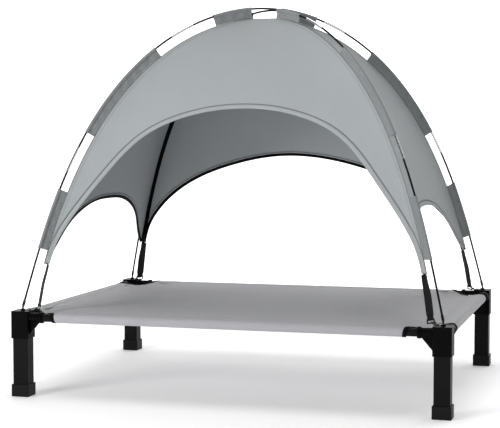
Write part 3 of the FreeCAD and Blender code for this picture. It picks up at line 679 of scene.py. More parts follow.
class Panel:
    """One side of the canopy. A place on it is (u, v): across it from its middle line, and down it
    from the crown along the cloth."""

    def __init__(self, name, out_axis, width_axis, arch, hollow, seed):
        self.name = name
        self.hollow = hollow
        self.out_axis = np.array(out_axis, float)
        self.width_axis = np.array(width_axis, float)
        self.seed = seed
        faces_y = abs(self.out_axis[1]) > 0.5
        out_share, half_share = (ALONG_Y, ALONG_X) if faces_y else (ALONG_X, ALONG_Y)
        self.out = RIDGE[:, 0] * out_share
        self.half = RIDGE[:, 0] * half_share
        self.height = RIDGE[:, 1]
        steps = np.hypot(np.diff(self.out), np.diff(self.height))
        self.down = np.concatenate(([0.0], np.cumsum(steps)))
        turn = np.stack([np.gradient(self.out, self.down), np.gradient(self.height, self.down)])
        turn /= np.linalg.norm(turn, axis=0)
        self.normal_out = -turn[1]
        self.normal_up = turn[0]
        self.lean = 1 / np.sqrt(1 + np.gradient(self.half, self.down) ** 2)
        top, side_points, inset = arch
        foot_v = self.down_at(SKIN_HEM_HEIGHT)
        foot_u = np.interp(foot_v, self.down, self.half) - inset * MM
        right = [(x * MM, z * MM) for x, z in side_points] + [(foot_u, SKIN_HEM_HEIGHT)]
        outline = [(-x, z) for x, z in right[::-1]] + [(0.0, top * MM)] + right
        dense = smooth_curve(outline, 801)
        dense[:, 1] = self.down_at(dense[:, 1])
        self.arch_line = even(dense, 801)
        self.foot_v = foot_v

    def down_at(self, height):
        return np.interp(-np.asarray(height), -self.height, self.down)

    def ridge_gap(self, u, v):
        inside = np.interp(v, self.down, self.half) - np.abs(u)
        return np.maximum(0, inside * np.interp(v, self.down, self.lean))

    def arch_gap(self, u, v):
        flat = np.stack([np.ravel(u), np.ravel(v)], axis=1)
        best = np.full(len(flat), 1e9)
        for chunk in range(0, len(self.arch_line), 100):
            part = self.arch_line[chunk : chunk + 100]
            gaps = ((flat[:, None] - part[None]) ** 2).sum(axis=2).min(axis=1)
            best = np.minimum(best, gaps)
        return np.sqrt(best).reshape(np.shape(u))

    def fullness(self, u, v, from_ridge):
        """The soft hollow between the ridges, or a belly where hollow is negative."""
        half = np.maximum(np.interp(v, self.down, self.half), 1e-4)
        across = np.clip(np.abs(u) / half, 0, 1)
        saddle = SADDLE * (1 - across**2) * smooth_step(half / SADDLE_FADE)
        flare = RIDGE_FLARE * (1 - np.exp(-from_ridge / FLARE_REACH)) * smooth_step(v / FLARE_FADE)
        return -self.hollow * (saddle + flare)

    def creases(self, u, v, from_arch):
        """Uneven cloth, folds drawn along the arch at its feet, and puckers beside the hem."""
        uneven = 1.6 * MM * ripple(u / 0.24, v / 0.3, self.seed)
        foot = smooth_step((v / self.foot_v - 0.45) / 0.5)
        bent = 2.2 * ripple(u / 0.3, v / 0.3, self.seed + 1)
        drawn = 0.9 * MM * np.sin(from_arch / (15 * MM) * 2 * math.pi + bent) * np.exp(-from_arch / 0.07)
        near_hem = np.exp(-(((from_arch - 26 * MM) / (15 * MM)) ** 2))
        puckers = 0.35 * MM * np.sin(from_arch / (8 * MM) * 2 * math.pi) * near_hem
        return uneven + drawn * foot + puckers

    def hem_relief(self, from_arch, from_ridge):
        """The doubled hem, narrower at the feet, and the groove where it is sewn down."""
        hem = np.minimum(HEM_WIDTH, HEM_AT_FEET * (from_arch + from_ridge))
        share = hem / HEM_WIDTH
        in_hem = 1 - smooth_step((from_arch - hem + 1.2 * MM) / (1.2 * MM))
        groove = np.exp(-(((from_arch - hem - 0.6 * MM) / (2.0 * MM)) ** 2))
        return HEM_PROUD * in_hem * share - HEM_GROOVE * groove * share**2

    def relief(self, u, v):
        """How far the cloth stands out of the plain curved sheet."""
        from_ridge = self.ridge_gap(u, v)
        from_arch = self.arch_gap(u, v)
        creased = self.creases(u, v, from_arch) * smooth_step(from_ridge / CREASE_FADE)
        return self.fullness(u, v, from_ridge) + creased + self.hem_relief(from_arch, from_ridge)

    def point(self, u, v, depth=0.0):
        """The world point at a place, that deep under the outer face."""
        lift = self.relief(u, v) - depth
        out = np.interp(v, self.down, self.out) + lift * np.interp(v, self.down, self.normal_out)
        height = np.interp(v, self.down, self.height) + lift * np.interp(v, self.down, self.normal_up)
        ends = np.asarray(u)[..., None] * self.width_axis + out[..., None] * self.out_axis
        ends[..., 2] = height
        return ends

    def normal(self, v):
        flat = np.interp(v, self.down, self.normal_out)[..., None] * self.out_axis
        flat[..., 2] = np.interp(v, self.down, self.normal_up)
        return flat

    def places(self):
        """The grid of places, columns along the arch and rows from its hem up to the ridges."""
        arch = even(self.arch_line, PANEL_COLUMNS)
        away = right_of(arch)
        shares = np.abs(np.linspace(-1, 1, PANEL_COLUMNS))
        ridge_v = self.foot_v * shares
        ridge = np.stack([np.sign(arch[:, 0]) * np.interp(ridge_v, self.down, self.half), ridge_v], axis=1)
        width = np.linalg.norm(ridge - arch, axis=1)
        hem = np.minimum(HEM_WIDTH, HEM_AT_FEET * width)
        hem_rows = [arch + away * (hem * share)[:, None] for share in HEM_SHARES]
        steps = 1 - (1 - np.linspace(0, 1, PANEL_ROWS)[1:]) ** 1.5
        rest = [hem_rows[-1] + (ridge - hem_rows[-1]) * step for step in steps]
        return np.stack(hem_rows + rest, axis=1)

    def build(self):
        grid = self.places()
        u, v = grid[..., 0], grid[..., 1]
        outer = self.point(u, v)
        from_arch = self.arch_gap(u, v)
        from_ridge = self.ridge_gap(u, v)
        doubled = HEM_PROUD * (1 - smooth_step((from_arch - HEM_WIDTH) / (2 * MM)))
        half = np.maximum(np.interp(v, self.down, self.half), 4 * MM)
        mitre = 1 - RIDGE_MITRE / half * (from_ridge < 2 * MM)
        inner = self.point(u * mitre, v, CLOTH_THICKNESS + doubled)
        rim_middle = (outer[:, 0] + inner[:, 0]) / 2
        edge_out = rim_middle - (outer[:, 1] - outer[:, 0]) * 0.12
        loops = np.concatenate([edge_out[:, None], outer, inner[:, ::-1]], axis=1)
        flat = np.concatenate([grid[:, :1], grid, grid[:, ::-1], grid[:, :1]], axis=1)
        # Distances that the canopy's material uses for its painted shade along the hem and the ridge seams
        gaps = {"from_hem": from_arch, "from_ridge": from_ridge}
        gaps = {key: np.concatenate([gap[:, :1], gap, gap[:, ::-1]], axis=1) for key, gap in gaps.items()}
        piece = lofted(f"canopy_{self.name}", [(loops, flat)], gaps)
        finish_piece(piece, "canopy", CANOPY_FABRIC, [f"canopy_panel_{self.name}"])
        size, area = self.flat_cut()

    def flat_cut(self):
        """Rectangle and area of the cut cloth, with what is turned in at its hem and at both ridges."""
        inside = self.down <= self.foot_v
        half, down = self.half[inside], self.down[inside]
        opening = abs(area_under(self.foot_v - self.arch_line[:, 1], self.arch_line[:, 0]))
        turned_in = HEM_WIDTH * length_of(self.arch_line)
        turned_in += 2 * SEAM_TURN * length_of(np.stack([half, down], axis=1))
        size = (2 * float(half.max() + SEAM_TURN), self.foot_v + SEAM_TURN)
        return size, 2 * area_under(half, down) - opening + turned_in

    def along_arch(self, gap, count=401):
        """Places along the arch, that far into the cloth."""
        line = even(self.arch_line, count)
        return line + right_of(line) * gap


PANELS = [
    Panel("front", (0, -1, 0), (1, 0, 0), FRONT_ARCH, 1.0, 1),
    Panel("back", (0, 1, 0), (-1, 0, 0), BACK_ARCH, 1.0, 2),
    Panel("right", (1, 0, 0), (0, 1, 0), SIDE_ARCH, 1.0, 3),
    Panel("left", (-1, 0, 0), (0, -1, 0), SIDE_ARCH, -0.2, 4),
]
for panel in PANELS:
    panel.build()

# ---------------------------------------------------------------- black trim inside the canopy

BINDING_WIDTH = 9.5 * MM
TRIM_THICKNESS = 0.9 * MM
TAPE_HALF_WIDTH = 11 * MM
TAPE_START = 30
UNDER_CLOTH = CLOTH_THICKNESS + 0.05 * MM


def arch_binding(panel):
    """Black tape along the inside of an arch."""
    line = even(panel.arch_line, 321)
    away = right_of(line)
    width = np.minimum(BINDING_WIDTH, 0.8 * panel.ridge_gap(line[:, 0], line[:, 1]))
    shares = (0.03, 0.1, 0.35, 0.65, 0.92, 1.0)
    flat = np.stack([line + away * (width * share)[:, None] for share in shares], axis=1)
    hem = UNDER_CLOTH + HEM_PROUD
    crown = np.array([0.35, 0.0, 0.0, 0.0, 0.0, 0.35]) * TRIM_THICKNESS
    belly = np.array([0.65, 1.0, 1.0, 1.0, 1.0, 0.65]) * TRIM_THICKNESS
    outer = panel.point(flat[..., 0], flat[..., 1], hem + crown)
    inner = panel.point(flat[..., 0], flat[..., 1], hem + belly)
    loops = np.concatenate([outer, inner[:, ::-1]], axis=1)
    run = np.linspace(0, length_of(line), len(line))
    across = np.array(shares + shares[::-1] + shares[:1]) * BINDING_WIDTH
    piece = lofted(f"arch_tape_{panel.name}", [(loops, cloth_places(across, run))])
    return finish_piece(piece, "canopy", BLACK_TAPE, [f"arch_binding_{panel.name}"])


def panels_at(side_x, side_y):
    """The two panels that meet at a corner, each with the sign of its places there."""
    found = []
    for panel in PANELS:
        if panel.out_axis @ (side_x, side_y, 0) > 0:
            found.append((panel, float(np.sign(panel.width_axis @ (side_x, side_y, 0)))))
    return found


def ridge_line(panel, sign, gap, steps, depth):
    """Points on a panel beside its ridge, at a distance from it and under its outer face."""
    v = panel.down[steps]
    u = sign * np.maximum(panel.half[steps] - gap / panel.lean[steps], 0.0)
    return panel.point(u, v, depth), panel.normal(v)


def seam_tape(corner, side_x, side_y):
    """Black tape folded over the seam inside a ridge."""
    first, second = panels_at(side_x, side_y)
    last = int(np.searchsorted(-RIDGE[:, 1], -SKIN_HEM_HEIGHT))
    steps = np.arange(TAPE_START, last, 2)
    gaps = np.array((1.0, 0.93, 0.6, 0.3)) * TAPE_HALF_WIDTH
    layers = []
    for depths in ((0.35, 0, 0, 0), (0.65, 1, 1, 1)):
        run = []
        for panel, sign in (first, second):
            points = [
                ridge_line(panel, sign, gap, steps, UNDER_CLOTH + 0.4 * MM + share * TRIM_THICKNESS)[0]
                for gap, share in zip(gaps, depths)
            ]
            run.append(points)
        middle = (run[0][-1] + run[1][-1]) / 2
        layers.append(run[0] + [middle] + run[1][::-1])
    loops = np.stack(layers[0] + layers[1][::-1], axis=1)
    run = np.linspace(0, length_of(loops[:, 4]), len(steps))
    across = np.linspace(-1, 1, 9) * TAPE_HALF_WIDTH
    across = np.concatenate([across, across[::-1], across[:1]])
    piece = lofted(f"ridge_tape_{corner}", [(loops, cloth_places(across, run))])
    return finish_piece(piece, "canopy", BLACK_TAPE, [f"seam_tape_{corner}"])


for panel in PANELS:
    arch_binding(panel)
for corner, sides in CORNERS.items():
    seam_tape(corner, *sides)

# ---------------------------------------------------------------- pole sleeves

SLEEVE_RADIUS = 4.6 * MM
SLEEVE_CLOTH = 0.65 * MM
SLEEVE_SEAM = 9.5 * MM
SLEEVE_HEM = 7 * MM
SLEEVE_STEP = 5 * MM
SLEEVE_GAP = 0.2 * MM
# Points of a sleeve's section that carry a row of stitches: under its tube and above the ridge
SLEEVE_STITCH_POINTS = (7, 2)


def sleeve_section(web, seam_half):
    """Half of the folded cloth's outline, from the ridge up to the top of the tube: (depth, across)."""
    points = [(web, seam_half * 0.8), (web - 1.5 * MM, seam_half * 1.1)]
    for share in (0.85, 0.65, 0.45, 0.25, 0.1):
        points.append((SLEEVE_SEAM + (web - SLEEVE_SEAM) * share, seam_half * 1.15))
    points += [(SLEEVE_SEAM, seam_half * 0.8), (SLEEVE_SEAM - 1.4 * MM, seam_half * 1.3)]
    points.append((0.62 * SLEEVE_SEAM, 0.5 * SLEEVE_RADIUS))
    for degrees in (38, 62, 86, 110, 134, 158):
        angle = math.radians(degrees)
        points.append((math.cos(angle) * SLEEVE_RADIUS, math.sin(angle) * SLEEVE_RADIUS))
    return points


def sleeve_station(pole, place, first, last, seed):
    """The folded cloth's section at one place on its pole, as outer and inner points in the pole's plane."""
    centre, _ = pole.frame_at(place)
    into = ridge_at(place) - centre
    web = float(np.linalg.norm(into))
    into = into / web
    from_end = min(place - first, last - place)
    hem = 0.25 * MM * (1 - smooth_step((from_end - SLEEVE_HEM) / MM))
    open_end = 0.5 * MM * math.exp(-from_end / (4 * MM))
    pucker = 0.22 * MM * math.sin((place - first) / (9 * MM) * 2 * math.pi + seed)
    wave = (place - first) / (38 * MM) * 2 * math.pi + seed
    half_section = sleeve_section(web - SLEEVE_GAP, SLEEVE_CLOTH + 0.1 * MM)
    outer, inner = [], []
    for side in (1, -1):
        for depth, across in half_section[::side]:
            share = np.clip((depth - 2 * MM) / (web - 2 * MM), 0, 1)
            sway = 1.1 * MM * math.sin(wave) * math.sin(math.pi * share)
            sway += 0.5 * MM * math.sin(2.3 * wave + 1) * math.sin(2 * math.pi * share)
            half = across + hem + (open_end + pucker if depth < 0.7 * SLEEVE_SEAM else 0.0)
            inner_half = max(half - SLEEVE_CLOTH, 0.04 * MM)
            reach = centre + into * depth
            shrunk = centre + into * (depth * (1 - SLEEVE_CLOTH / SLEEVE_RADIUS) if depth < 0 else depth)
            outer.append((reach[0], sway + side * half, reach[1]))
            inner.append((shrunk[0], sway + side * inner_half, shrunk[1]))
    for ring, thickness in ((outer, 0.0), (inner, SLEEVE_CLOTH)):
        top = centre - into * (SLEEVE_RADIUS + hem + open_end - thickness)
        ring.insert(len(half_section), (top[0], 0.0, top[1]))
    return outer, inner


def sleeve(pole, first, last, seed):
    """One sleeve: its loops in the pole's plane, and each station's place and outer points."""
    places = list(np.linspace(first, last, int((last - first) / SLEEVE_STEP) + 1))
    places[1:1] = [first + 0.4 * MM]
    places[-1:-1] = [last - 0.4 * MM]
    loops, seams = [], []
    for place in places:
        outer, inner = sleeve_station(pole, place, first, last, seed)
        loops.append(outer + inner[::-1])
        seams.append((place, outer))
    return np.array(loops), seams


def sleeve_rows(seams, index, side_x, side_y):
    """Stitches along the same point of every section, on both faces of the sleeve."""
    rows = []
    for face, at in ((1, index), (-1, -1 - index)):
        line = put_at_corner([outer[at] for _, outer in seams[1:-1]], side_x, side_y)
        normal = put_at_corner(np.array([[0.0, face, 0.0]] * len(line)), side_x, side_y)
        rows.append(stitch_points(line, normal))
    return rows


def pole_sleeves(corner, side_x, side_y):
    """The three sleeves of a corner as one piece. Returns their rows of stitches."""
    pole = UPPER if side_x * side_y > 0 else LOWER
    parts, rows = [], []
    spans = (FIRST_SLEEVE[corner], *LOWER_SLEEVES)
    for number, (first, last) in enumerate(spans):
        loops, seams = sleeve(pole, first * MM, last * MM, number * 1.7 + side_x + 2 * side_y)
        loops = put_at_corner(loops, side_x, side_y)
        half = loops.shape[1] // 2
        around = run_along(loops[3, :half])
        across = np.concatenate([around, around[::-1], around[:1]])
        parts.append((loops, cloth_places(across, [place for place, _ in seams])))
        for index in SLEEVE_STITCH_POINTS:
            rows += sleeve_rows(seams, index, side_x, side_y)
    piece = lofted(f"sleeves_{corner}", parts)
    finish_piece(piece, "canopy", SHADED_SLEEVE_FABRIC, [f"pole_sleeves_{corner}"])
    return rows


SLEEVE_STITCHES = []
for corner, sides in CORNERS.items():
    SLEEVE_STITCHES += pole_sleeves(corner, *sides)
stitches("sleeve_stitches", SLEEVE_STITCHES, "canopy", GREY_THREAD)

# ---------------------------------------------------------------- canopy stitching

HEM_STITCH_GAP = 11.2 * MM
RIDGE_STITCH_GAPS = (3.2 * MM, 8.5 * MM)


def canopy_stitches():
    """One row in each hem and two beside each ridge, on both panels."""
    rows = []
    for panel in PANELS:
        line = panel.along_arch(HEM_STITCH_GAP, 401)[14:-14]
        rows.append(stitch_points(panel.point(line[:, 0], line[:, 1]), panel.normal(line[:, 1])))
    last = int(np.searchsorted(-RIDGE[:, 1], -SKIN_HEM_HEIGHT - 20 * MM))
    steps = np.arange(TAPE_START, last)
    for sides in CORNERS.values():
        for panel, sign in panels_at(*sides):
            for gap in RIDGE_STITCH_GAPS:
                rows.append(stitch_points(*ridge_line(panel, sign, gap, steps, 0.0)))
    stitches("canopy_stitches", rows, "canopy", GREY_THREAD)


canopy_stitches()

# ---------------------------------------------------------------- sling

SLING_RADIUS = TUBE_RADIUS + 1.9 * MM
SLING_CLOTH = 1.1 * MM
WRAP_TURN = math.radians(225)
WRAP_CLIMB = 27.6 * MM
WRAP_LAP = 10 * MM
FLAP = SLING_RADIUS * WRAP_TURN + WRAP_CLIMB + WRAP_LAP
# Half of a corner cut-out's bound edge on the flat cloth, in mm in from the leg's middle, and its middle
NOTCH = ((104, -98), (101.5, -62), (99, -44), (95.5, -25), (91, -9), (80, 8), (63, 26.5))
NOTCH_MIDDLE = (45, 45)
CLOTH_UNDER_BINDING = 2 * MM
NOTCH_DROOP = 11 * MM
DROOP_REACH = 60 * MM
BINDING_HALF = 5.6 * MM
BINDING_LIFT = 0.85 * MM
FLAP_STITCH_GAPS = (29 * MM, 34 * MM)
STITCHES_FROM_CORNER = 88 * MM
SLING_GRID = 9 * MM
WRAP_GRID = 3 * MM


def notch_line(count):
    """The bound edge of a corner cut-out, from the flap on a long side to the flap on a short side."""
    path = NOTCH + (NOTCH_MIDDLE,) + tuple((flat_y, flat_x) for flat_x, flat_y in NOTCH[::-1])
    return smooth_curve(np.array(path) * MM, count)


def notch_gap(flat_x, flat_y):
    """How far places on the flat cloth, with both signs dropped, are from the cut edge of a corner."""
    inwards_x, inwards_y = CORNER_X - flat_x, CORNER_Y - flat_y
    line = notch_line(201)[::-1]
    edge = np.interp(inwards_x - inwards_y, line[:, 0] - line[:, 1], line.sum(axis=1))
    return (inwards_x + inwards_y - edge) / math.sqrt(2) + CLOTH_UNDER_BINDING


def sling_relief(flat_x, flat_y):
    """Sag and creases of the taut sheet, nothing at the tubes."""
    taut = smooth_step((TUBE_X - np.abs(flat_x)) / 0.06) * smooth_step((TUBE_Y - np.abs(flat_y)) / 0.06)
    relief = -4.5 * MM * (1 - (flat_x / TUBE_X) ** 2) * (1 - (flat_y / TUBE_Y) ** 2)
    relief += 0.9 * MM * ripple(flat_x / 0.5, flat_y / 0.16, 5)
    for side_x, side_y in CORNERS.values():
        away_x, away_y = CORNER_X - flat_x * side_x, CORNER_Y - flat_y * side_y
        reach = np.hypot(away_x, away_y)
        angle = np.arctan2(away_y, away_x)
        folds = np.sin(angle * 17 + 1.3 * side_x + 0.7 * side_y + 1.2 * np.sin(angle * 5))
        relief += 1.9 * MM * folds * np.exp(-np.maximum(reach - 0.09, 0) / 0.14) * smooth_step(reach / 0.15)
    from_notch = np.maximum(notch_gap(np.abs(flat_x), np.abs(flat_y)), 0)
    relief -= NOTCH_DROOP * np.exp(-((from_notch / DROOP_REACH) ** 2))
    return relief * taut


def sling_place(flat_x, flat_y, lift=0.0):
    """The world point of a place on the flat-cut sling, with its flaps wrapped round the tubes."""
    flat_x, flat_y, lift = np.broadcast_arrays(np.asarray(flat_x, float), np.asarray(flat_y, float), lift)
    past_x, past_y = np.abs(flat_x) - TUBE_X, np.abs(flat_y) - TUBE_Y
    past = np.maximum(0, np.maximum(past_x, past_y))
    turn = np.minimum(past / SLING_RADIUS, WRAP_TURN)
    climb = np.clip(past - SLING_RADIUS * WRAP_TURN, 0, WRAP_CLIMB)
    lap = np.maximum(past - SLING_RADIUS * WRAP_TURN - WRAP_CLIMB, 0)
    radius = SLING_RADIUS + lift
    out = radius * np.sin(turn) + climb * math.cos(WRAP_TURN) - lap
    up = radius * np.cos(turn) - climb * math.sin(WRAP_TURN)
    x = np.where(past_x > 0, np.sign(flat_x) * (TUBE_X + out), flat_x)
    y = np.where(past_y > 0, np.sign(flat_y) * (TUBE_Y + out), flat_y)
    z = TUBE_HEIGHT + up + np.where(past > 0, 0.0, sling_relief(flat_x, flat_y))
    return np.stack([x, y, z], axis=-1)


def sling_outline():
    """The flat cut: a rectangle with a flap on each side and a notch at each corner."""
    bound = notch_line(61)
    cut = bound + right_of(bound) * CLOTH_UNDER_BINDING
    notch = [(CORNER_X - flat_x, CORNER_Y - flat_y) for flat_x, flat_y in cut[::-1]]
    notch[0] = (TUBE_X + FLAP, notch[0][1])
    notch[-1] = (notch[-1][0], TUBE_Y + FLAP)
    quarter = [(TUBE_X + FLAP, 0.0)] + notch + [(0.0, TUBE_Y + FLAP)]
    upper_left = [(-x, y) for x, y in quarter[-2:0:-1]]
    upper = quarter + upper_left
    lower = [(-x, -y) for x, y in upper]
    corners = np.array(upper + lower)
    outline = []
    for start, end in zip(corners, np.roll(corners, -1, axis=0)):
        count = max(1, round(np.linalg.norm(end - start) / SLING_GRID))
        outline += [start + (end - start) * k / count for k in range(count)]
    return np.array(outline)


def grid_stops(half):
    """Places of the sling's inner points along one axis, closer together where it wraps a tube."""
    flat = np.linspace(0, half, round(half / SLING_GRID) + 1)
    wrap = half + np.linspace(0, FLAP, round(FLAP / WRAP_GRID) + 1)[1:]
    side = np.concatenate([flat, wrap])
    return np.concatenate([-side[:0:-1], side])


def build_sling():
    """The sling as one cut cloth, wrapped and sewn round the four tubes."""
    outline = sling_outline()
    flat_x, flat_y = np.meshgrid(grid_stops(TUBE_X), grid_stops(TUBE_Y))
    flat_x, flat_y = flat_x.ravel(), flat_y.ravel()
    clear = 1.3 * MM
    inside = (np.abs(flat_x) < TUBE_X + FLAP - clear) & (np.abs(flat_y) < TUBE_Y + FLAP - clear)
    keep = inside & (notch_gap(np.abs(flat_x), np.abs(flat_y)) > 2 * clear)
    flat = np.vstack([outline, np.stack([flat_x[keep], flat_y[keep]], axis=1)])
    edges = [(i, (i + 1) % len(outline)) for i in range(len(outline))]
    found = geometry.delaunay_2d_cdt([Vector(p) for p in flat], edges, [], 1, 1e-5)
    flat = np.array([tuple(p) for p in found[0]])
    faces = [tuple(face) for face in found[2]]
    uvs = [flat[i] for face in faces for i in face]
    piece = make_mesh("sling_cloth", sling_place(flat[:, 0], flat[:, 1]), faces, uvs)
    if sum(polygon.normal.z * polygon.area for polygon in piece.data.polygons) < 0:
        piece.data.flip_normals()
    thickness = piece.modifiers.new("cloth thickness", "SOLIDIFY")
    thickness.thickness = SLING_CLOTH
    thickness.offset = -1
    finish_piece(piece, "bed", SLING_FABRIC, ["bed_sling"])


def sling_binding(corner, side_x, side_y):
    """Black binding over the edge of a corner notch, and on round both tube sleeves."""
    inwards = notch_line(160)
    past = np.maximum(-inwards[:, 0], -inwards[:, 1]) - (TUBE_X - CORNER_X)
    inwards = inwards[past < SLING_RADIUS * WRAP_TURN]
    line = np.array((CORNER_X, CORNER_Y)) - inwards
    away = right_of(line)
    section = [(-1.0, 0.0), (-0.97, 0.55), (-0.85, 0.95), (-0.3, 1.0), (0.3, 1.0), (0.85, 0.95)]
    section += [(0.97, 0.55), (1.0, 0.0), (0.97, -0.5), (0.85, -0.9), (0.0, -0.95), (-0.85, -0.9)]
    section += [(-0.97, -0.5)]
    loops = []
    for across, lift in section:
        flat = line + away * across * BINDING_HALF
        height = lift * (BINDING_LIFT + SLING_CLOTH / 2) - SLING_CLOTH / 2
        loops.append(sling_place(flat[:, 0] * side_x, flat[:, 1] * side_y, height))
    loops = np.stack(loops, axis=1)
    across = np.array([p[0] for p in section] + [section[0][0]]) * BINDING_HALF
    piece = lofted(f"notch_binding_{corner}", [(loops, cloth_places(across, run_along(line)))])
    finish_piece(piece, "bed", BLACK_TAPE, [f"sling_binding_{corner}"])
    row = line[4:-4] + away[4:-4] * BINDING_HALF * 0.66
    points = sling_place(row[:, 0] * side_x, row[:, 1] * side_y, BINDING_LIFT + 0.1 * MM)
    under = sling_place(row[:, 0] * side_x, row[:, 1] * side_y, BINDING_LIFT - 2 * MM)
    return stitch_points(points, points - under)


def sling_stitches():
    """Two rows beside each tube, where the flap is sewn up under the sheet."""
    rows = []
    for gap in FLAP_STITCH_GAPS:
        for half_run, half_off, along_x in ((TUBE_X, TUBE_Y, True), (TUBE_Y, TUBE_X, False)):
            reach = half_run - STITCHES_FROM_CORNER
            run = np.linspace(-reach, reach, 400)
            for side in (-1, 1):
                off = np.full_like(run, side * (half_off - gap))
                places = (run, off) if along_x else (off, run)
                rows.append(stitch_points(sling_place(*places), np.tile((0.0, 0.0, 1.0), (len(run), 1))))
    return rows


build_sling()
stitches("sling_stitches", sling_stitches(), "bed", GREY_THREAD)
BINDING_STITCHES = [sling_binding(corner, *sides) for corner, sides in CORNERS.items()]
stitches("binding_stitches", BINDING_STITCHES, "bed", BLACK_THREAD)

# ---------------------------------------------------------------- corner straps

STRAP_WIDTH = 25 * MM
STRAP_LOOP_WIDTH = 21 * MM
STRAP_TOP_WIDTH = 19 * MM
STRAP_GATHER = 60 * MM
STRAP_TOP_IN = 4 * MM
STRAP_CLOTH = 1.35 * MM
STRAP_LAYER = 0.8 * MM
LOOP_MIDDLE = 2.3 * MM
STRAP_RUN = RING_CENTRE - STRAP_TOP
STRAP_LENGTH = float(np.linalg.norm(STRAP_RUN))
STRAP_DOWN = STRAP_RUN / STRAP_LENGTH
STRAP_OUT = np.array((-STRAP_DOWN[1], STRAP_DOWN[0]))
BAR_PLACE = STRAP_LENGTH - RING_DEPTH / 2 + RING_BAR / 2
TAB_HALF_WIDTH = 11 * MM
TAB_DEPTH = 2.7 * MM
TAB_GAPS = np.array((1.0, 0.9, 0.55, 0.15)) * TAB_HALF_WIDTH
TAB_STEPS = 9
TAB_BLEND = 0.55


def strap_path():
    """Middle line of the doubled webbing: (down, out), round the ring's bar and back up."""
    half = [(0.0, STRAP_LAYER)]
    half += [(BAR_PLACE * share, STRAP_LAYER) for share in (0.1, 0.2, 0.3, 0.4, 0.5, 0.6, 0.7, 0.8)]
    half += [(BAR_PLACE - 8 * MM, STRAP_LAYER), (BAR_PLACE - 5 * MM, STRAP_LAYER * 1.2)]
    half += [(BAR_PLACE - 2.5 * MM, LOOP_MIDDLE * 0.8)]
    for turn in np.radians((10, 40, 70)):
        half.append((BAR_PLACE + LOOP_MIDDLE * math.sin(turn), LOOP_MIDDLE * math.cos(turn)))
    path = half + [(BAR_PLACE + LOOP_MIDDLE, 0.0)] + [(down, -out) for down, out in half[::-1]]
    return smooth_curve(path, 150)


def strap_point(down, out, across):
    """(reach, across, height) of a place beside the strap's line, which starts a little inside the ridge."""
    out = out - STRAP_TOP_IN * (1 - smooth_step(down / STRAP_GATHER))
    place = STRAP_TOP + STRAP_DOWN * down + STRAP_OUT * out
    return place[0], across, place[1]


def strap_loops(path):
    """The webbing's section swept along its middle line, and its UVs."""
    section = [(-1, 0.35), (-0.96, 0.8), (-0.5, 1), (0, 1), (0.5, 1), (0.96, 0.8), (1, 0.35)]
    section += [(across, -lift) for across, lift in section[::-1]]
    loops = []
    for place, up in zip(path, -right_of(path)):
        half = strap_width(place[0]) / 2
        ring = []
        for across, lift in section:
            down, out = place + up * lift * STRAP_CLOTH / 2
            ring.append(strap_point(down, out, across * half))
        loops.append(ring)
    run = np.linspace(0, length_of(path), len(path))
    sides = np.array([p[0] for p in section] + [section[0][0]]) * STRAP_WIDTH / 2
    return np.array(loops), cloth_places(sides, run)


def strap_width(down):
    """The webbing is gathered at its top and a little narrower round the ring's bar."""
    narrowing = smooth_step((down - BAR_PLACE + 15 * MM) / (8 * MM))
    gathered = (1 - smooth_step(down / STRAP_GATHER)) * (STRAP_WIDTH - STRAP_TOP_WIDTH)
    return STRAP_WIDTH - gathered + (STRAP_LOOP_WIDTH - STRAP_WIDTH) * narrowing


def box_stitch_rows(low, high, half_width, side_x, side_y):
    """A rectangle with its diagonals, on both faces of the strap."""
    corners = [(low, -half_width), (low, half_width), (high, half_width), (high, -half_width)]
    lines = list(zip(corners, corners[1:] + corners[:1]))
    lines += [(corners[0], corners[2]), (corners[1], corners[3])]
    rows = []
    for face in (1, -1):
        out = face * (STRAP_LAYER + STRAP_CLOTH / 2)
        for start, end in lines:
            flat = np.linspace(start, end, 12)
            points = [strap_point(down, out, across) for down, across in flat]
            points = put_at_corner(points, side_x, side_y)
            normal = np.array([[STRAP_OUT[0] * face, 0, STRAP_OUT[1] * face]] * len(flat))
            rows.append(stitch_points(points, put_at_corner(normal, side_x, side_y), 3.2 * MM))
    return rows


def corner_strap(corner, side_x, side_y):
    """Doubled webbing from the canopy's corner round the ring's bar, with its sewn boxes."""
    path = strap_path()
    loops, uvs = strap_loops(path)
    strap = lofted(f"strap_{corner}", [(put_at_corner(loops, side_x, side_y), uvs)])
    body = f"strap_{corner}"
    finish_piece(strap, body, BLACK_WEBBING, [f"corner_strap_{corner}"])
    rows = box_stitch_rows(BAR_PLACE - 36 * MM, BAR_PLACE - 17 * MM, 9 * MM, side_x, side_y)
    stitches(f"strap_stitches_{corner}", rows, body, BLACK_THREAD)


def folded_tab(panels):
    """The part of a tab that lies under both panels, as loops from its top down."""
    last = int(np.searchsorted(-RIDGE[:, 1], -SKIN_HEM_HEIGHT))
    steps = np.arange(last - TAB_STEPS, last)
    layers = []
    for lifts in ((0.35, 0.0, 0.0, 0.0), (0.65, 1.0, 1.0, 1.0)):
        run = []
        for panel, sign in panels:
            run.append([
                ridge_line(panel, sign, gap, steps, TAB_DEPTH + STRAP_CLOTH * lift)[0]
                for gap, lift in zip(TAB_GAPS, lifts)
            ])
        layers.append(run[0] + run[1][::-1])
    return np.stack(layers[0] + layers[1][::-1], axis=1)


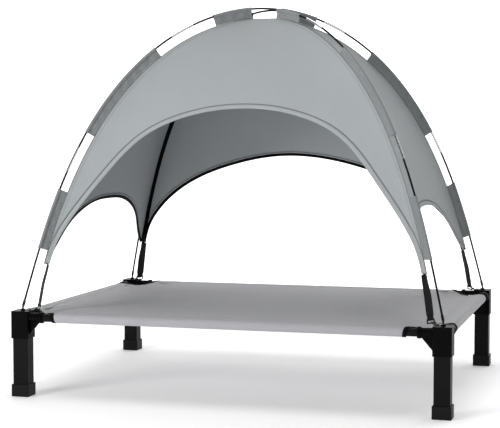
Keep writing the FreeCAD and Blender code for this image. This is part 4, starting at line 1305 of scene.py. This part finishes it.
def strap_tab(corner, side_x, side_y):
    """The strap's sewn end, folded into the canopy's corner and meeting the strap at its top."""
    panels = panels_at(side_x, side_y)
    folded = folded_tab(panels)
    shares = np.concatenate([TAB_GAPS, -TAB_GAPS[::-1]]) / TAB_HALF_WIDTH * STRAP_TOP_WIDTH / 2
    ends = []
    for down in (-1.5 * MM, 0.5 * MM, 2.5 * MM):
        ring = [strap_point(down, STRAP_CLOTH / 2, across) for across in shares]
        ring += [strap_point(down, -STRAP_CLOTH / 2, across) for across in shares[::-1]]
        ends.append(put_at_corner(ring, side_x, side_y))
    between = folded[-1] * (1 - TAB_BLEND) + ends[0] * TAB_BLEND
    loops = np.concatenate([folded, between[None], np.array(ends)])
    run = run_along(loops[:, 4])
    across = np.concatenate([shares, shares[::-1], shares[:1]])
    piece = lofted(f"strap_tab_{corner}", [(loops, cloth_places(across, run))])
    finish_piece(piece, "canopy", BLACK_WEBBING)


for corner, sides in CORNERS.items():
    corner_strap(corner, *sides)
    strap_tab(corner, *sides)

# ---------------------------------------------------------------- camera, light and floor


def area_light(name, place, target, size, power, mirrored):
    """A round lamp that looks at a target. Glossy pieces mirror it only if asked."""
    light = bpy.data.lights.new(name, "AREA")
    light.shape = "DISK"
    light.size = size
    light.energy = power
    lamp = bpy.data.objects.new(name, light)
    lamp.visible_glossy = mirrored
    lamp.location = place
    lamp.rotation_euler = (Vector(target) - Vector(place)).to_track_quat("-Z", "Y").to_euler()
    bpy.context.scene.collection.objects.link(lamp)


CAMERA_LENS = 102.547
CAMERA_PLACE = (1.092248, -4.041974, 0.740590)
CAMERA_TILT = math.radians(90 - 3.4214)
CAMERA_TURN = math.radians(15.797)
MID_HEIGHT = 0.5
FLOOR_REACH = 400
SIDE_WORLD = 0.12
BACK_WORLD = 1.95
KEY_POWER = 150
TOP_POWER = 95
FRONT_POWER = 38
FLOOR_GLOW = 0.2


def set_camera(scene):
    camera = bpy.data.cameras.new("camera")
    camera.lens = CAMERA_LENS
    camera.sensor_width = 36
    viewer = bpy.data.objects.new("camera", camera)
    viewer.location = CAMERA_PLACE
    viewer.rotation_euler = (CAMERA_TILT, 0, CAMERA_TURN)
    scene.collection.objects.link(viewer)
    scene.camera = viewer


def set_world(scene):
    """White light from behind the bed, and little from the front."""
    world = bpy.data.worlds.new("studio")
    world.use_nodes = True
    tree = world.node_tree
    background = tree.nodes["Background"]
    direction = tree.nodes.new("ShaderNodeTexCoord")
    split = tree.nodes.new("ShaderNodeSeparateXYZ")
    spread = tree.nodes.new("ShaderNodeMapRange")
    spread.interpolation_type = "SMOOTHSTEP"
    for key, value in (("From Min", 0.3), ("From Max", 0.8), ("To Min", SIDE_WORLD), ("To Max", BACK_WORLD)):
        spread.inputs[key].default_value = value
    tree.links.new(direction.outputs["Generated"], split.inputs[0])
    tree.links.new(split.outputs[1], spread.inputs["Value"])
    tree.links.new(spread.outputs[0], background.inputs["Strength"])
    background.inputs["Color"].default_value = (1, 1, 1, 1)
    scene.world = world


def lay_floor():
    """A pale floor with painted light: it glows weakly near the bed, so that the lamps' shadows show there,
    and up to plain white away from it.
    """
    corners = [(x * FLOOR_REACH, y * FLOOR_REACH, 0) for x, y in ((-1, -1), (1, -1), (1, 1), (-1, 1))]
    floor = make_mesh("floor", corners, [(0, 1, 2, 3)])
    nodes = Nodes("floor")
    from_middle = nodes.vector_math("LENGTH", {0: nodes.place()}, "Value")
    # Painted light: the floor's glow, low around the bed and bright far from it
    glow = nodes.ranged(from_middle, FLOOR_GLOW, 1.05, 0.9, 3.2, interpolation_type="SMOOTHSTEP")
    floor.data.materials.append(nodes.set(
        Base_Color=(0.93, 0.93, 0.93, 1), Roughness=0.9, Emission_Color=(1, 1, 1, 1), Emission_Strength=glow,
    ))


def studio():
    scene = bpy.context.scene
    scene.view_settings.view_transform = "Standard"
    set_camera(scene)
    set_world(scene)
    area_light("key", (-2.4, -4.0, 1.2), (0, 0, MID_HEIGHT), 2.0, KEY_POWER, False)
    area_light("top", (0.0, 0.0, 4.2), (0, 0, 0.4), 4.0, TOP_POWER, True)
    area_light("front", (0.6, -4.9, 1.3), (0, 0, MID_HEIGHT), 3.0, FRONT_POWER, False)
    lay_floor()


studio()
